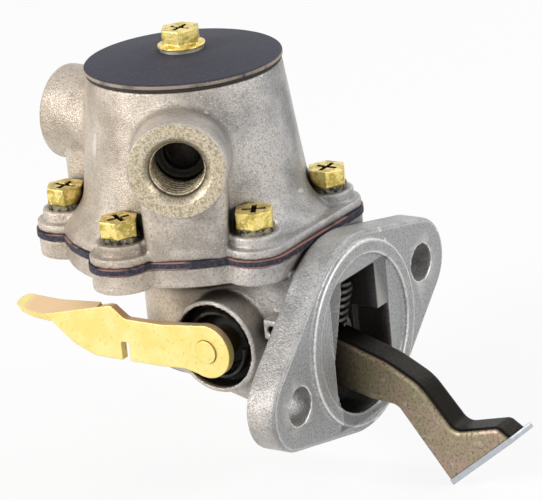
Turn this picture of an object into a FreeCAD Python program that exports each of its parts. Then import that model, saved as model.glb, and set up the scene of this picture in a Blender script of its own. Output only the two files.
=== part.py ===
import FreeCAD, Part

# Mechanical diaphragm lift pump with a hand priming lever.
# +Z runs up the pump axis and +X out of the engine mounting face. The origin is the centre of that face.
# Heights in the sheet are measured from the middle of the diaphragm, and reaches from the pump axis.

import math
import os

import Sketcher

DRIVING = {
    # where the mounting face lies from the pump axis and the diaphragm
    "axis_reach": 41.8,
    "axis_drop": 22.4,
    # the bolted joint that clamps the diaphragm
    "screw_circle": 30.0,
    "joint_radius": 31.0,
    "lobe_radius": 7.3,
    "lobe_start": 30.0,
    "screw_count": 6,
    "screw_radius": 2.5,
    "screw_clearance": 0.25,
    "thread_allowance": 0.05,
    "diaphragm_thickness": 1.6,
    "diaphragm_overhang": 0.4,
    "upper_flange": 2.0,
    "lower_flange": 4.7,
    "lug_radius": 5.8,
    "lug_top": 5.4,
    "washer_radius": 4.4,
    "washer_thickness": 1.2,
    "head_flats": 8.0,
    "head_height": 3.8,
    "slot_width": 1.2,
    "slot_depth": 1.4,
    "slot_reach": 2.7,
    "screw_reach": 6.5,
    # upper housing
    "dome_radius": 25.8,
    "dome_start": 8.0,
    "dome_top_radius": 22.2,
    "dome_top": 37.0,
    "flare_radius": 6.0,
    "chamber_radius": 19.0,
    "chamber_floor": 13.5,
    "pump_chamber_radius": 24.3,
    "pump_chamber_top": 5.5,
    "port_height": 22.9,
    "port_reach": 34.8,
    "port_angle": 120.0,
    "port_boss_radius": 11.0,
    "port_thread_radius": 6.2,
    "port_thread_depth": 14.0,
    "port_mouth_radius": 7.7,
    "port_mouth_depth": 1.6,
    "boss_root_fillet": 2.5,
    "boss_mouth_fillet": 0.6,
    "passage_radius": 4.0,
    "pillar_width": 19.0,
    "pillar_reach": 30.6,
    "pillar_corner": 2.5,
    "post_radius": 4.6,
    "post_top": 36.4,
    "post_thread_depth": 14.0,
    "gallery_block_radius": 7.6,
    "gallery_block_top": 30.0,
    # cover
    "gasket_thickness": 0.8,
    "gasket_width": 3.6,
    "cover_radius": 22.5,
    "cover_thickness": 1.0,
    "cover_crown": 1.8,
    "seal_radius": 5.0,
    "seal_thickness": 0.8,
    "cap_flange_radius": 5.4,
    "cap_flange_thickness": 1.0,
    "cap_head_height": 4.2,
    "cap_screw_length": 16.0,
    # valves
    "valve_offset": 12.0,
    "valve_radius": 6.5,
    "valve_height": 6.2,
    "valve_wall": 1.2,
    "valve_seat_radius": 2.8,
    "valve_fit": 0.05,
    "valve_disc_radius": 4.2,
    "valve_disc_thickness": 1.0,
    "valve_lift": 1.2,
    "valve_gap": 0.05,
    "cage_thickness": 0.8,
    "cage_hole_radius": 1.4,
    "valve_spring_radius": 1.8,
    "valve_wire": 0.2,
    "valve_coils": 3.0,
    "strainer_radius": 6.1,
    "strainer_height": 11.0,
    "strainer_wall": 0.5,
    "strainer_seat": 0.8,
    # diaphragm stack
    "plate_radius": 15.0,
    "plate_thickness": 1.0,
    "plate_lip": 1.2,
    "rod_radius": 3.0,
    "rod_thread_radius": 2.5,
    "nut_height": 3.2,
    "foot_radius": 4.8,
    "foot_thickness": 1.7,
    "foot_cone": 1.2,
    "rod_fit": 0.05,
    # lower housing
    "bowl_radius": 24.3,
    "bowl_floor_radius": 19.5,
    "bowl_depth": 6.8,
    "skirt_radius": 28.0,
    "well_outer_radius": 14.4,
    "well_radius": 11.4,
    "well_floor": 16.0,
    "floor_thickness": 3.0,
    "skirt_foot": 12.2,
    "well_bottom": 35.0,
    "bottom_wall": 2.0,
    "bottom_round": 7.0,
    "neck_bottom": 43.8,
    "chamber_width": 20.4,
    "mouth_width": 23.4,
    "mouth_top": 19.3,
    "mouth_bottom": 40.4,
    "mouth_slant": 25.0,
    "mouth_depth": 8.8,
    "mouth_round": 8.0,
    "spring_bay_width": 14.4,
    "spring_bay_top": 8.0,
    "spring_bay_step": 3.0,
    "flange_thickness": 7.5,
    "flange_disc_radius": 23.2,
    "ear_radius": 10.3,
    "bolt_spacing": 56.0,
    "bolt_tilt": 15.0,
    "bolt_hole_radius": 4.35,
    "flange_fillet": 1.0,
    "spigot_radius": 21.4,
    "spigot_inner_radius": 18.1,
    "spigot_height": 1.0,
    "drain_reach": 30.6,
    "drain_drop": 16.3,
    "drain_width": 4.0,
    "drain_rise": 4.8,
    "drain_proud": 5.1,
    "drain_hole_radius": 1.0,
    # rocker, link and their pin
    "pivot_reach": 28.0,
    "pivot_drop": 26.0,
    "pin_radius": 3.0,
    "pin_fit": 0.02,
    "pin_recess": 0.5,
    "pivot_clearance": 0.05,
    "arm_width": 8.0,
    "arm_wall": 1.6,
    "arm_edge_radius": 1.5,
    "rocker_hub_radius": 6.2,
    "knee_reach": 50.0,
    "knee_drop": 27.0,
    "elbow_reach": 58.0,
    "elbow_drop": 31.2,
    "valley_reach": 66.2,
    "valley_drop": 41.2,
    "toe_reach": 77.0,
    "toe_drop": 38.6,
    "throat_reach": 52.2,
    "throat_drop": 36.8,
    "belly_reach": 45.5,
    "belly_drop": 36.3,
    "pad_reach": 65.4,
    "pad_drop": 54.0,
    "pad_slope": 38.8,
    "pad_length": 21.0,
    "pad_thickness": 1.3,
    "pad_width": 8.8,
    "pad_overhang": 1.2,
    "tongue_reach": 20.4,
    "running_gap": 0.3,
    "link_top": 24.5,
    "link_thickness": 1.6,
    "link_hub_radius": 5.0,
    "link_start": -6.5,
    "link_slot_half": 4.2,
    "return_wire": 0.6,
    "return_radius": 3.5,
    "return_reach": 33.0,
    "return_length": 12.2,
    "return_tilt": 15.0,
    "return_coils": 6.0,
    # primer lever and its shaft
    "shaft_reach": 16.2,
    "shaft_drop": 21.3,
    "shaft_radius": 3.4,
    "half_moon": 1.5,
    "half_moon_width": 13.6,
    "shaft_end": 15.6,
    "boss_radius": 11.0,
    "boss_face": 21.6,
    "cup_radius": 9.8,
    "cup_depth": 5.0,
    "far_boss_radius": 7.6,
    "far_boss_face": 17.6,
    "oring_radius": 5.6,
    "oring_depth": 2.0,
    "lever_gap": 1.2,
    "lever_thickness": 2.0,
    "lever_hub_radius": 6.2,
    "spigot_end_radius": 2.7,
    "spigot_end_proud": 0.4,
    "lever_waist": 11.9,
    "lever_waist_top": 4.9,
    "lever_step": 21.7,
    "lever_brow": 25.2,
    "lever_brow_top": 7.5,
    "fold_start": 26.4,
    "fold_top": 7.5,
    "fold_slope": 13.5,
    "fold_length": 18.8,
    "lever_chin": 36.9,
    "lever_chin_low": 3.0,
    "lever_jaw": 31.0,
    "lever_low": 5.2,
    "notch_outer": 23.6,
    "notch_inner": 21.4,
    "notch_top": 0.7,
    "lever_shoulder": 6.3,
    "lever_shoulder_low": 4.8,
    "fold_tilt": 19.5,
    "thumb_reach": 34.4,
    "thumb_tip_depth": 7.2,
    "thumb_corner": 29.5,
    "thumb_width": 9.3,
    "thumb_side": 24.6,
    "thumb_side_depth": 2.1,
    "thumb_heel": 17.0,
    "thumb_heel_depth": 5.1,
    "thumb_root": 3.0,
    "torsion_radius": 7.4,
    "torsion_wire": 0.6,
    "torsion_coils": 2.0,
    # springs and seal below the diaphragm
    "main_spring_radius": 8.8,
    "main_spring_wire": 0.8,
    "main_spring_coils": 4.5,
    "retainer_radius": 9.8,
    "retainer_thickness": 0.8,
    "rod_seal_radius": 5.2,
    "rod_seal_height": 3.4,
    "retainer_wall": 0.8,
}

EXPORT_FOLDER = "parts"

doc = FreeCAD.newDocument("lift_pump")
sheet = doc.addObject("Spreadsheet::Sheet", "Sizes")
for row, (alias, number) in enumerate(DRIVING.items(), start=1):
    sheet.set(f"A{row}", alias)
    sheet.set(f"B{row}", str(number))
    sheet.setAlias(f"B{row}", alias)
doc.recompute()


class Size:
    """A length that carries its number and the sheet formula that gives it."""

    def __init__(self, number, formula):
        self.number = number
        self.formula = formula

    def __add__(self, other):
        other = as_size(other)
        return Size(self.number + other.number, f"({self.formula} + {other.formula})")

    def __sub__(self, other):
        other = as_size(other)
        return Size(self.number - other.number, f"({self.formula} - {other.formula})")

    def __mul__(self, other):
        other = as_size(other)
        return Size(self.number * other.number, f"({self.formula} * {other.formula})")

    def __truediv__(self, other):
        other = as_size(other)
        return Size(self.number / other.number, f"({self.formula} / {other.formula})")

    def __neg__(self):
        return Size(-self.number, f"(-1 * {self.formula})")

    def __radd__(self, other):
        return as_size(other) + self

    def __rsub__(self, other):
        return as_size(other) - self

    def __rmul__(self, other):
        return as_size(other) * self


def as_size(value):
    """A plain number, such as 2, as a Size."""
    return value if isinstance(value, Size) else Size(float(value), f"({value})")


def cosine(angle):
    return Size(math.cos(math.radians(angle.number)), f"cos({angle.formula} * 1 deg)")


def sine(angle):
    return Size(math.sin(math.radians(angle.number)), f"sin({angle.formula} * 1 deg)")


def root(value):
    return Size(math.sqrt(value.number), f"sqrt({value.formula})")


class Sheet:
    """Gives each alias of the sheet as a Size, so d.pin_radius reads the cell pin_radius."""

    def __getattr__(self, alias):
        return Size(DRIVING[alias], f"Sizes.{alias}")


d = Sheet()
ZERO = as_size(0)
joint_half = d.diaphragm_thickness / 2


def new_part(label, reach=ZERO, side=ZERO, height=ZERO):
    """An empty body at a place given from the pump axis and the diaphragm."""
    body = doc.addObject("PartDesign::Body", label)
    body.Label = label
    body.setExpression("Placement.Base.x", (reach - d.axis_reach).formula)
    body.setExpression("Placement.Base.y", side.formula)
    body.setExpression("Placement.Base.z", (height + d.axis_drop).formula)
    return body


def origin_feature(body, role):
    return next(item for item in body.Origin.OriginFeatures if item.Role == role)


def sketch_on(body, plane, lift=ZERO, turn=None, across=None, along=None):
    """A sketch on one of the body's own origin planes, lifted along its normal and turned in itself."""
    sketch = body.newObject("Sketcher::SketchObject", f"{body.Label}_sketch")
    sketch.AttachmentSupport = [(origin_feature(body, plane), "")]
    sketch.MapMode = "FlatFace"
    sketch.setExpression("AttachmentOffset.Base.z", lift.formula)
    if across is not None:
        sketch.setExpression("AttachmentOffset.Base.x", across.formula)
    if along is not None:
        sketch.setExpression("AttachmentOffset.Base.y", along.formula)
    if turn is not None:
        sketch.AttachmentOffset = FreeCAD.Placement(
            sketch.AttachmentOffset.Base, FreeCAD.Rotation(FreeCAD.Vector(0, 0, 1), turn.number)
        )
        sketch.setExpression("AttachmentOffset.Rotation.Angle", turn.formula)
    return sketch


def tie(sketch, kind, *details):
    """Adds a constraint whose last value, when it is a Size, stays bound to the sheet."""
    value = details[-1]
    if not isinstance(value, Size):
        return sketch.addConstraint(Sketcher.Constraint(kind, *details))
    index = sketch.addConstraint(Sketcher.Constraint(kind, *details[:-1], value.number))
    sketch.setExpression(f"Constraints[{index}]", value.formula)
    return index


def fix_point(sketch, geometry, position, x, y):
    tie(sketch, "DistanceX", -1, 1, geometry, position, as_size(x))
    tie(sketch, "DistanceY", -1, 1, geometry, position, as_size(y))


def add_circle(sketch, x, y, radius):
    x, y = as_size(x), as_size(y)
    centre = FreeCAD.Vector(x.number, y.number, 0)
    circle = sketch.addGeometry(Part.Circle(centre, FreeCAD.Vector(0, 0, 1), radius.number), False)
    fix_point(sketch, circle, 3, x, y)
    tie(sketch, "Radius", circle, radius)
    return circle


def add_outline(sketch, corners):
    """A closed outline of straight edges. A corner is (x, y), or (x, y, radius) when it is rounded."""
    corners = [(as_size(c[0]), as_size(c[1]), c[2] if len(c) > 2 else None) for c in corners]
    count = len(corners)
    spots = [FreeCAD.Vector(x.number, y.number, 0) for x, y, _ in corners]
    ends = []
    for i in range(count):
        here = spots[i]
        back = (spots[i - 1] - here).normalize()
        ahead = (spots[(i + 1) % count] - here).normalize()
        radius = corners[i][2]
        if radius is None:
            ends.append((here, here, None))
            continue
        half = math.acos(max(-1.0, min(1.0, back.dot(ahead)))) / 2
        run = radius.number / math.tan(half)
        centre = here + (back + ahead).normalize() * (radius.number / math.sin(half))
        ends.append((here + back * run, here + ahead * run, centre))
    lines = [
        sketch.addGeometry(Part.LineSegment(ends[i][1], ends[(i + 1) % count][0]), False)
        for i in range(count)
    ]
    for i in range(count):
        x, y, radius = corners[i]
        before, after = lines[i - 1], lines[i]
        if radius is None:
            tie(sketch, "Coincident", before, 2, after, 1)
            fix_point(sketch, after, 1, x, y)
            continue
        spot = sketch.addGeometry(Part.Point(spots[i]), True)
        fix_point(sketch, spot, 1, x, y)
        tie(sketch, "PointOnObject", spot, 1, before)
        tie(sketch, "PointOnObject", spot, 1, after)
        start, stop, centre = ends[i]
        turn = (spots[i] - spots[i - 1]).cross(spots[(i + 1) % count] - spots[i]).z
        first, last = (start, stop) if turn > 0 else (stop, start)
        arc = sketch.addGeometry(
            Part.ArcOfCircle(
                Part.Circle(centre, FreeCAD.Vector(0, 0, 1), radius.number),
                math.atan2(first.y - centre.y, first.x - centre.x),
                math.atan2(last.y - centre.y, last.x - centre.x),
            ),
            False,
        )
        tie(sketch, "Tangent", before, 2, arc, 1 if turn > 0 else 2)
        tie(sketch, "Tangent", after, 1, arc, 2 if turn > 0 else 1)
        tie(sketch, "Radius", arc, radius)


def extrude(body, kind, sketch, length, middle=False, backwards=False):
    feature = body.newObject(f"PartDesign::{kind}", f"{body.Label}_{kind.lower()}")
    feature.Profile = sketch
    feature.setExpression("Length", as_size(length).formula)
    if middle:
        feature.SideType = "Symmetric"
    feature.Reversed = backwards
    return feature


def pad(body, sketch, length, middle=False, backwards=False):
    return extrude(body, "Pad", sketch, length, middle, backwards)


def pocket(body, sketch, depth, middle=False, backwards=False):
    return extrude(body, "Pocket", sketch, depth, middle, backwards)


def spin(body, corners, kind="Revolution"):
    """Turns a half outline, given as (radius, height) corners, about the body's own Z axis."""
    sketch = sketch_on(body, "XZ_Plane")
    add_outline(sketch, corners)
    feature = body.newObject(f"PartDesign::{kind}", f"{body.Label}_{kind.lower()}")
    feature.Profile = sketch
    feature.ReferenceAxis = (sketch, ["V_Axis"])
    feature.Angle = 360
    return feature


def repeat(body, features, count, sweep=None):
    """Repeats features about the body's Z axis, over a full turn or over a sweep."""
    pattern = body.newObject("PartDesign::PolarPattern", f"{body.Label}_pattern")
    pattern.Originals = features
    pattern.Axis = (origin_feature(body, "Z_Axis"), [""])
    pattern.Angle = 360
    if sweep is not None:
        pattern.setExpression("Angle", sweep.formula)
    pattern.setExpression("Occurrences", as_size(count).formula)
    body.Tip = pattern
    return pattern


def coil(label, radius, wire, length, turns, **place):
    """A helical spring between two levels. Its wire is six-sided, to keep the solid light."""
    body = new_part(label, **place)
    sketch = sketch_on(body, "XZ_Plane")
    hexagon(sketch, wire * root(as_size(3)), radius, wire)
    helix = body.newObject("PartDesign::AdditiveHelix", f"{label}_helix")
    helix.Profile = sketch
    helix.ReferenceAxis = (sketch, ["V_Axis"])
    helix.Mode = "height-turns-angle"
    helix.setExpression("Height", (length - wire * 2).formula)
    helix.setExpression("Turns", turns.formula)
    return body


def hexagon(sketch, flats, x=ZERO, y=ZERO):
    """A hexagon across its flats about a point of the sketch."""
    corner = flats / root(as_size(3))
    points = []
    for step in range(6):
        angle = as_size(60 * step)
        points.append((x + corner * cosine(angle), y + corner * sine(angle)))
    add_outline(sketch, points)


def screw_spot():
    """The first screw of the joint. The others follow from it by a polar pattern."""
    return d.screw_circle * cosine(d.lobe_start), d.screw_circle * sine(d.lobe_start)


def round_edges(body, radius, picked):
    """Rounds the edges of the body so far for which picked(points along the edge) holds."""
    doc.recompute()
    base = body.Tip
    edges = base.Shape.Edges
    names = [f"Edge{i}" for i, edge in enumerate(edges, 1) if picked(edge.discretize(9))]
    if not names:
        raise RuntimeError(f"{body.Label} has no edge to round here")
    fillet = body.newObject("PartDesign::Fillet", f"{body.Label}_fillet")
    fillet.Base = (base, names)
    fillet.setExpression("Radius", radius.formula)
    body.Tip = fillet


def lobed_plate(body, bottom, thickness, grow=ZERO):
    """The six-lobed outline that both flanges and the diaphragm share."""
    disc = sketch_on(body, "XY_Plane", lift=bottom)
    add_circle(disc, 0, 0, d.joint_radius + grow)
    pad(body, disc, thickness)
    bridge = sketch_on(body, "XY_Plane", lift=bottom)
    reach, side = screw_spot()
    edge = reach + d.lobe_radius + grow
    add_outline(bridge, [(reach / 2, -side), (edge, -side), (edge, side), (reach / 2, side)])
    pad(body, bridge, thickness)
    lobe = sketch_on(body, "XY_Plane", lift=bottom)
    add_circle(lobe, reach, side, d.lobe_radius + grow)
    repeat(body, [pad(body, lobe, thickness)], d.screw_count)


def screw_holes(body, bottom, depth, radius):
    sketch = sketch_on(body, "XY_Plane", lift=bottom)
    add_circle(sketch, *screw_spot(), radius)
    repeat(body, [pocket(body, sketch, depth, backwards=True)], d.screw_count)


def on_port_boss(points, where):
    """True for the edge round a port boss at its mouth, or where it leaves the dome."""
    for angle in (180, 180 + d.port_angle.number):
        ahead = FreeCAD.Vector(math.cos(math.radians(angle)), math.sin(math.radians(angle)), 0)
        centre = FreeCAD.Vector(0, 0, d.port_height.number)
        reaches = [point.dot(ahead) for point in points]
        offsets = [(point - centre - ahead * point.dot(ahead)).Length for point in points]
        if max(abs(offset - d.port_boss_radius.number) for offset in offsets) > 0.01:
            continue
        if where == "mouth":
            return min(reaches) > d.port_reach.number - 0.01
        # The edge on the dome is the only one that climbs over the top of the boss.
        top = max(point.z for point in points)
        on_top = top > d.port_height.number + 0.9 * d.port_boss_radius.number
        return on_top and max(reaches) < d.dome_radius.number
    return False


# Upper housing: an aluminium casting with both fuel ports, the valve deck and the strainer chamber.
def build_upper_housing():
    body = new_part("upper_housing")
    lobed_plate(body, joint_half, d.upper_flange)
    spin(
        body,
        [
            (0, joint_half),
            (d.joint_radius, joint_half),
            (d.joint_radius, joint_half + d.upper_flange),
            (d.dome_radius, d.dome_start, d.flare_radius),
            (d.dome_top_radius, d.dome_top),
            (0, d.dome_top),
        ],
    )
    lug = sketch_on(body, "XY_Plane", lift=joint_half)
    add_circle(lug, *screw_spot(), d.lug_radius)
    repeat(body, [pad(body, lug, d.lug_top - joint_half)], d.screw_count)
    spot_face = sketch_on(body, "XY_Plane", lift=d.lug_top)
    add_circle(spot_face, *screw_spot(), d.washer_radius + d.running_gap)
    room = d.washer_thickness + d.head_height
    repeat(body, [pocket(body, spot_face, room, backwards=True)], d.screw_count)

    pillar = sketch_on(body, "XY_Plane", lift=joint_half)
    half = d.pillar_width / 2
    inner = d.chamber_radius
    add_outline(
        pillar,
        [
            (-inner, half),
            (-d.pillar_reach, half, d.pillar_corner),
            (-d.pillar_reach, -half, d.pillar_corner),
            (-inner, -half),
        ],
    )
    boss = sketch_on(body, "YZ_Plane", lift=-d.port_reach, along=d.port_height)
    add_circle(boss, 0, 0, d.port_boss_radius)
    pillar_pad = pad(body, pillar, d.port_height - joint_half)
    boss_pad = pad(body, boss, d.port_reach - inner)
    repeat(body, [pillar_pad, boss_pad], 2, d.port_angle)
    round_edges(body, d.boss_root_fillet, lambda points: on_port_boss(points, "root"))
    round_edges(body, d.boss_mouth_fillet, lambda points: on_port_boss(points, "mouth"))

    chamber = sketch_on(body, "XY_Plane", lift=d.chamber_floor)
    add_circle(chamber, 0, 0, d.chamber_radius)
    pocket(body, chamber, d.dome_top - d.chamber_floor, backwards=True)

    # The outlet gallery stands over the outlet valve and reaches the wall behind the front port.
    towards_port = d.port_angle + 180
    valve_x = d.valve_offset * cosine(towards_port)
    valve_y = d.valve_offset * sine(towards_port)
    block = sketch_on(body, "XY_Plane", lift=d.chamber_floor)
    add_circle(block, valve_x, valve_y, d.gallery_block_radius)
    pad(body, block, d.gallery_block_top - d.chamber_floor)
    bridge = sketch_on(body, "XY_Plane", lift=d.chamber_floor, turn=towards_port)
    wide = d.gallery_block_radius
    outer = d.chamber_radius + 1
    add_outline(
        bridge, [(d.valve_offset, -wide), (outer, -wide), (outer, wide), (d.valve_offset, wide)]
    )
    pad(body, bridge, d.gallery_block_top - d.chamber_floor)
    post = sketch_on(body, "XY_Plane", lift=d.chamber_floor)
    add_circle(post, 0, 0, d.post_radius)
    pad(body, post, d.post_top - d.chamber_floor)
    post_hole = sketch_on(body, "XY_Plane", lift=d.post_top)
    add_circle(post_hole, 0, 0, d.screw_radius + d.thread_allowance)
    pocket(body, post_hole, d.post_thread_depth)

    thread = sketch_on(body, "YZ_Plane", lift=-d.port_reach, along=d.port_height)
    add_circle(thread, 0, 0, d.port_thread_radius)
    passage = sketch_on(body, "YZ_Plane", lift=-d.port_reach, along=d.port_height)
    add_circle(passage, 0, 0, d.passage_radius)
    mouth = sketch_on(body, "YZ_Plane", lift=-d.port_reach, along=d.port_height)
    add_circle(mouth, 0, 0, d.port_mouth_radius)
    thread_cut = pocket(body, thread, d.port_thread_depth, backwards=True)
    passage_cut = pocket(body, passage, d.port_reach - d.valve_offset, backwards=True)
    mouth_cut = pocket(body, mouth, d.port_mouth_depth, backwards=True)
    mouth_cut.TaperAngle = -45
    repeat(body, [thread_cut, passage_cut, mouth_cut], 2, d.port_angle)

    pump_chamber = sketch_on(body, "XY_Plane", lift=joint_half)
    add_circle(pump_chamber, 0, 0, d.pump_chamber_radius)
    pocket(body, pump_chamber, d.pump_chamber_top - joint_half, backwards=True)
    seat = sketch_on(body, "XY_Plane", lift=d.pump_chamber_top)
    add_circle(seat, valve_x, valve_y, d.valve_radius + d.valve_fit)
    add_circle(seat, -valve_x, -valve_y, d.valve_radius + d.valve_fit)
    pocket(body, seat, d.valve_height, backwards=True)
    way_up = sketch_on(body, "XY_Plane", lift=d.pump_chamber_top)
    add_circle(way_up, valve_x, valve_y, d.valve_radius - d.valve_wall)
    way_up_top = d.port_height + d.passage_radius + 1
    pocket(body, way_up, way_up_top - d.pump_chamber_top, backwards=True)
    way_down = sketch_on(body, "XY_Plane", lift=d.pump_chamber_top)
    add_circle(way_down, -valve_x, -valve_y, d.valve_radius - d.valve_wall)
    pocket(body, way_down, d.chamber_floor - d.pump_chamber_top, backwards=True)
    strainer_seat = sketch_on(body, "XY_Plane", lift=d.chamber_floor)
    add_circle(strainer_seat, -valve_x, -valve_y, d.strainer_radius + d.valve_fit)
    pocket(body, strainer_seat, d.strainer_seat)
    screw_holes(
        body, joint_half, d.lug_top - joint_half, d.screw_radius + d.screw_clearance
    )
    return body


# Cover: a domed steel pressing on a flat gasket, held by one central flanged screw.
def build_cover():
    rim_low = d.dome_top + d.gasket_thickness
    rim_high = rim_low + d.cover_thickness
    top = rim_high + d.cover_crown

    gasket = new_part("cover_gasket")
    spin(
        gasket,
        [
            (d.dome_top_radius - d.gasket_width, d.dome_top),
            (d.dome_top_radius, d.dome_top),
            (d.dome_top_radius, rim_low),
            (d.dome_top_radius - d.gasket_width, rim_low),
        ],
    )

    cover = new_part("top_cover")
    hole = d.screw_radius + d.screw_clearance
    crown_edge = d.cover_radius / 2
    flat = d.seal_radius + 1
    spin(
        cover,
        [
            (hole, top - d.cover_thickness),
            (flat, top - d.cover_thickness),
            (crown_edge, top - d.cover_thickness - d.cover_crown / 5, d.cover_radius),
            (d.cover_radius - d.gasket_width, rim_low),
            (d.cover_radius, rim_low),
            (d.cover_radius, rim_high, d.cover_thickness / 2),
            (crown_edge, top - d.cover_crown / 5, d.cover_radius),
            (flat, top),
            (hole, top),
        ],
    )

    seal = new_part("cap_screw_seal")
    seal_top = top + d.seal_thickness
    spin(seal, [(hole, top), (d.seal_radius, top), (d.seal_radius, seal_top), (hole, seal_top)])

    screw = new_part("cap_screw", height=seal_top)
    spin(
        screw,
        [
            (0, -d.cap_screw_length),
            (d.screw_radius, -d.cap_screw_length),
            (d.screw_radius, 0),
            (d.cap_flange_radius, 0),
            (d.cap_flange_radius, d.cap_flange_thickness / 2),
            (d.head_flats / 2, d.cap_flange_thickness),
            (0, d.cap_flange_thickness),
        ],
    )
    head = sketch_on(screw, "XY_Plane")
    hexagon(head, d.head_flats)
    pad(screw, head, d.cap_head_height)
    cross_slots(screw, d.cap_head_height)
    return gasket, cover, seal, screw


def cross_slots(screw, top, x=ZERO, y=ZERO):
    """The cross recess for a driver in a hexagon head."""
    cuts = []
    for wide, deep in ((d.slot_reach, d.slot_width / 2), (d.slot_width / 2, d.slot_reach)):
        slot = sketch_on(screw, "XY_Plane", lift=top)
        add_outline(
            slot,
            [(x - wide, y - deep), (x + wide, y - deep), (x + wide, y + deep), (x - wide, y + deep)],
        )
        cuts.append(pocket(screw, slot, d.slot_depth))
    return cuts


# Joint screws and spring washers: six of each, on the lugs of the bolted joint.
def build_joint_screws():
    head_seat = d.lug_top + d.washer_thickness
    x, y = screw_spot()
    screws = new_part("joint_screws")
    shank = sketch_on(screws, "XY_Plane", lift=head_seat)
    add_circle(shank, x, y, d.screw_radius)
    shank_pad = pad(screws, shank, head_seat + d.screw_reach, backwards=True)
    head = sketch_on(screws, "XY_Plane", lift=head_seat)
    hexagon(head, d.head_flats, x, y)
    head_pad = pad(screws, head, d.head_height)
    slots = cross_slots(screws, head_seat + d.head_height, x, y)
    repeat(screws, [shank_pad, head_pad, *slots], d.screw_count)

    washers = new_part("spring_washers")
    ring = sketch_on(washers, "XY_Plane", lift=d.lug_top)
    add_circle(ring, x, y, d.washer_radius)
    add_circle(ring, x, y, d.screw_radius + d.screw_clearance)
    ring_pad = pad(washers, ring, d.washer_thickness)
    split = sketch_on(washers, "XY_Plane", lift=head_seat)
    half = d.slot_width / 4
    add_outline(
        split, [(x, y), (x + half, y), (x + half, y - d.head_flats), (x, y - d.head_flats)]
    )
    repeat(washers, [ring_pad, pocket(washers, split, d.washer_thickness)], d.screw_count)
    return screws, washers


# Valves: two identical cups pressed into the deck, one the other way up, each with a disc and spring.
def build_valve(prefix, sign, opens_up):
    towards_port = d.port_angle + 180
    reach = d.valve_offset * cosine(towards_port) * sign
    side = d.valve_offset * sine(towards_port) * sign
    low = d.pump_chamber_top
    high = low + d.valve_height
    seat_face = low + d.valve_wall if opens_up else high - d.valve_wall
    way = 1 if opens_up else -1
    cage_outer = high if opens_up else low
    place = {"reach": reach, "side": side}
    inner = d.valve_radius - d.valve_wall

    cup = new_part(f"{prefix}_valve_seat", **place)
    seat_outer = low if opens_up else high
    spin(
        cup,
        [
            (d.valve_seat_radius, seat_outer),
            (d.valve_radius, seat_outer),
            (d.valve_radius, cage_outer),
            (inner, cage_outer),
            (inner, seat_face),
            (d.valve_seat_radius, seat_face),
        ],
    )

    disc = new_part(f"{prefix}_valve_disc", **place)
    near = seat_face + d.valve_gap * way
    far = near + d.valve_disc_thickness * way
    spin(disc, [(0, near), (d.valve_disc_radius, near), (d.valve_disc_radius, far), (0, far)])

    cage = new_part(f"{prefix}_valve_cage", **place)
    cage_inner = cage_outer - d.cage_thickness * way
    rim = inner - d.valve_fit
    stem = d.valve_spring_radius - d.valve_wire * 2
    stem_end = far + (d.valve_lift + d.running_gap) * way
    spin(
        cage,
        [
            (0, cage_outer),
            (rim, cage_outer),
            (rim, cage_inner),
            (stem, cage_inner),
            (stem, stem_end),
            (0, stem_end),
        ],
    )
    hole = sketch_on(cage, "XY_Plane", lift=cage_outer)
    add_circle(hole, (rim + stem) / 2, 0, d.cage_hole_radius)
    repeat(cage, [pocket(cage, hole, d.cage_thickness, backwards=not opens_up)], 4)

    if opens_up:
        bottom, top = far, cage_inner
    else:
        bottom, top = cage_inner, far
    spring = coil(
        f"{prefix}_valve_spring",
        d.valve_spring_radius,
        d.valve_wire,
        top - bottom,
        d.valve_coils,
        reach=reach,
        side=side,
        height=bottom,
    )
    return cup, disc, cage, spring


# Strainer: a gauze thimble that stands over the inlet valve.
def build_strainer():
    towards_port = d.port_angle + 180
    strainer = new_part(
        "strainer",
        reach=-(d.valve_offset * cosine(towards_port)),
        side=-(d.valve_offset * sine(towards_port)),
    )
    low = d.chamber_floor - d.strainer_seat
    high = low + d.strainer_height
    inner = d.strainer_radius - d.strainer_wall
    spin(
        strainer,
        [
            (inner, low),
            (d.strainer_radius, low),
            (d.strainer_radius, high, d.strainer_wall * 2),
            (0, high),
            (0, high - d.strainer_wall),
            (inner, high - d.strainer_wall, d.strainer_wall),
        ],
    )
    return strainer


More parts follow.
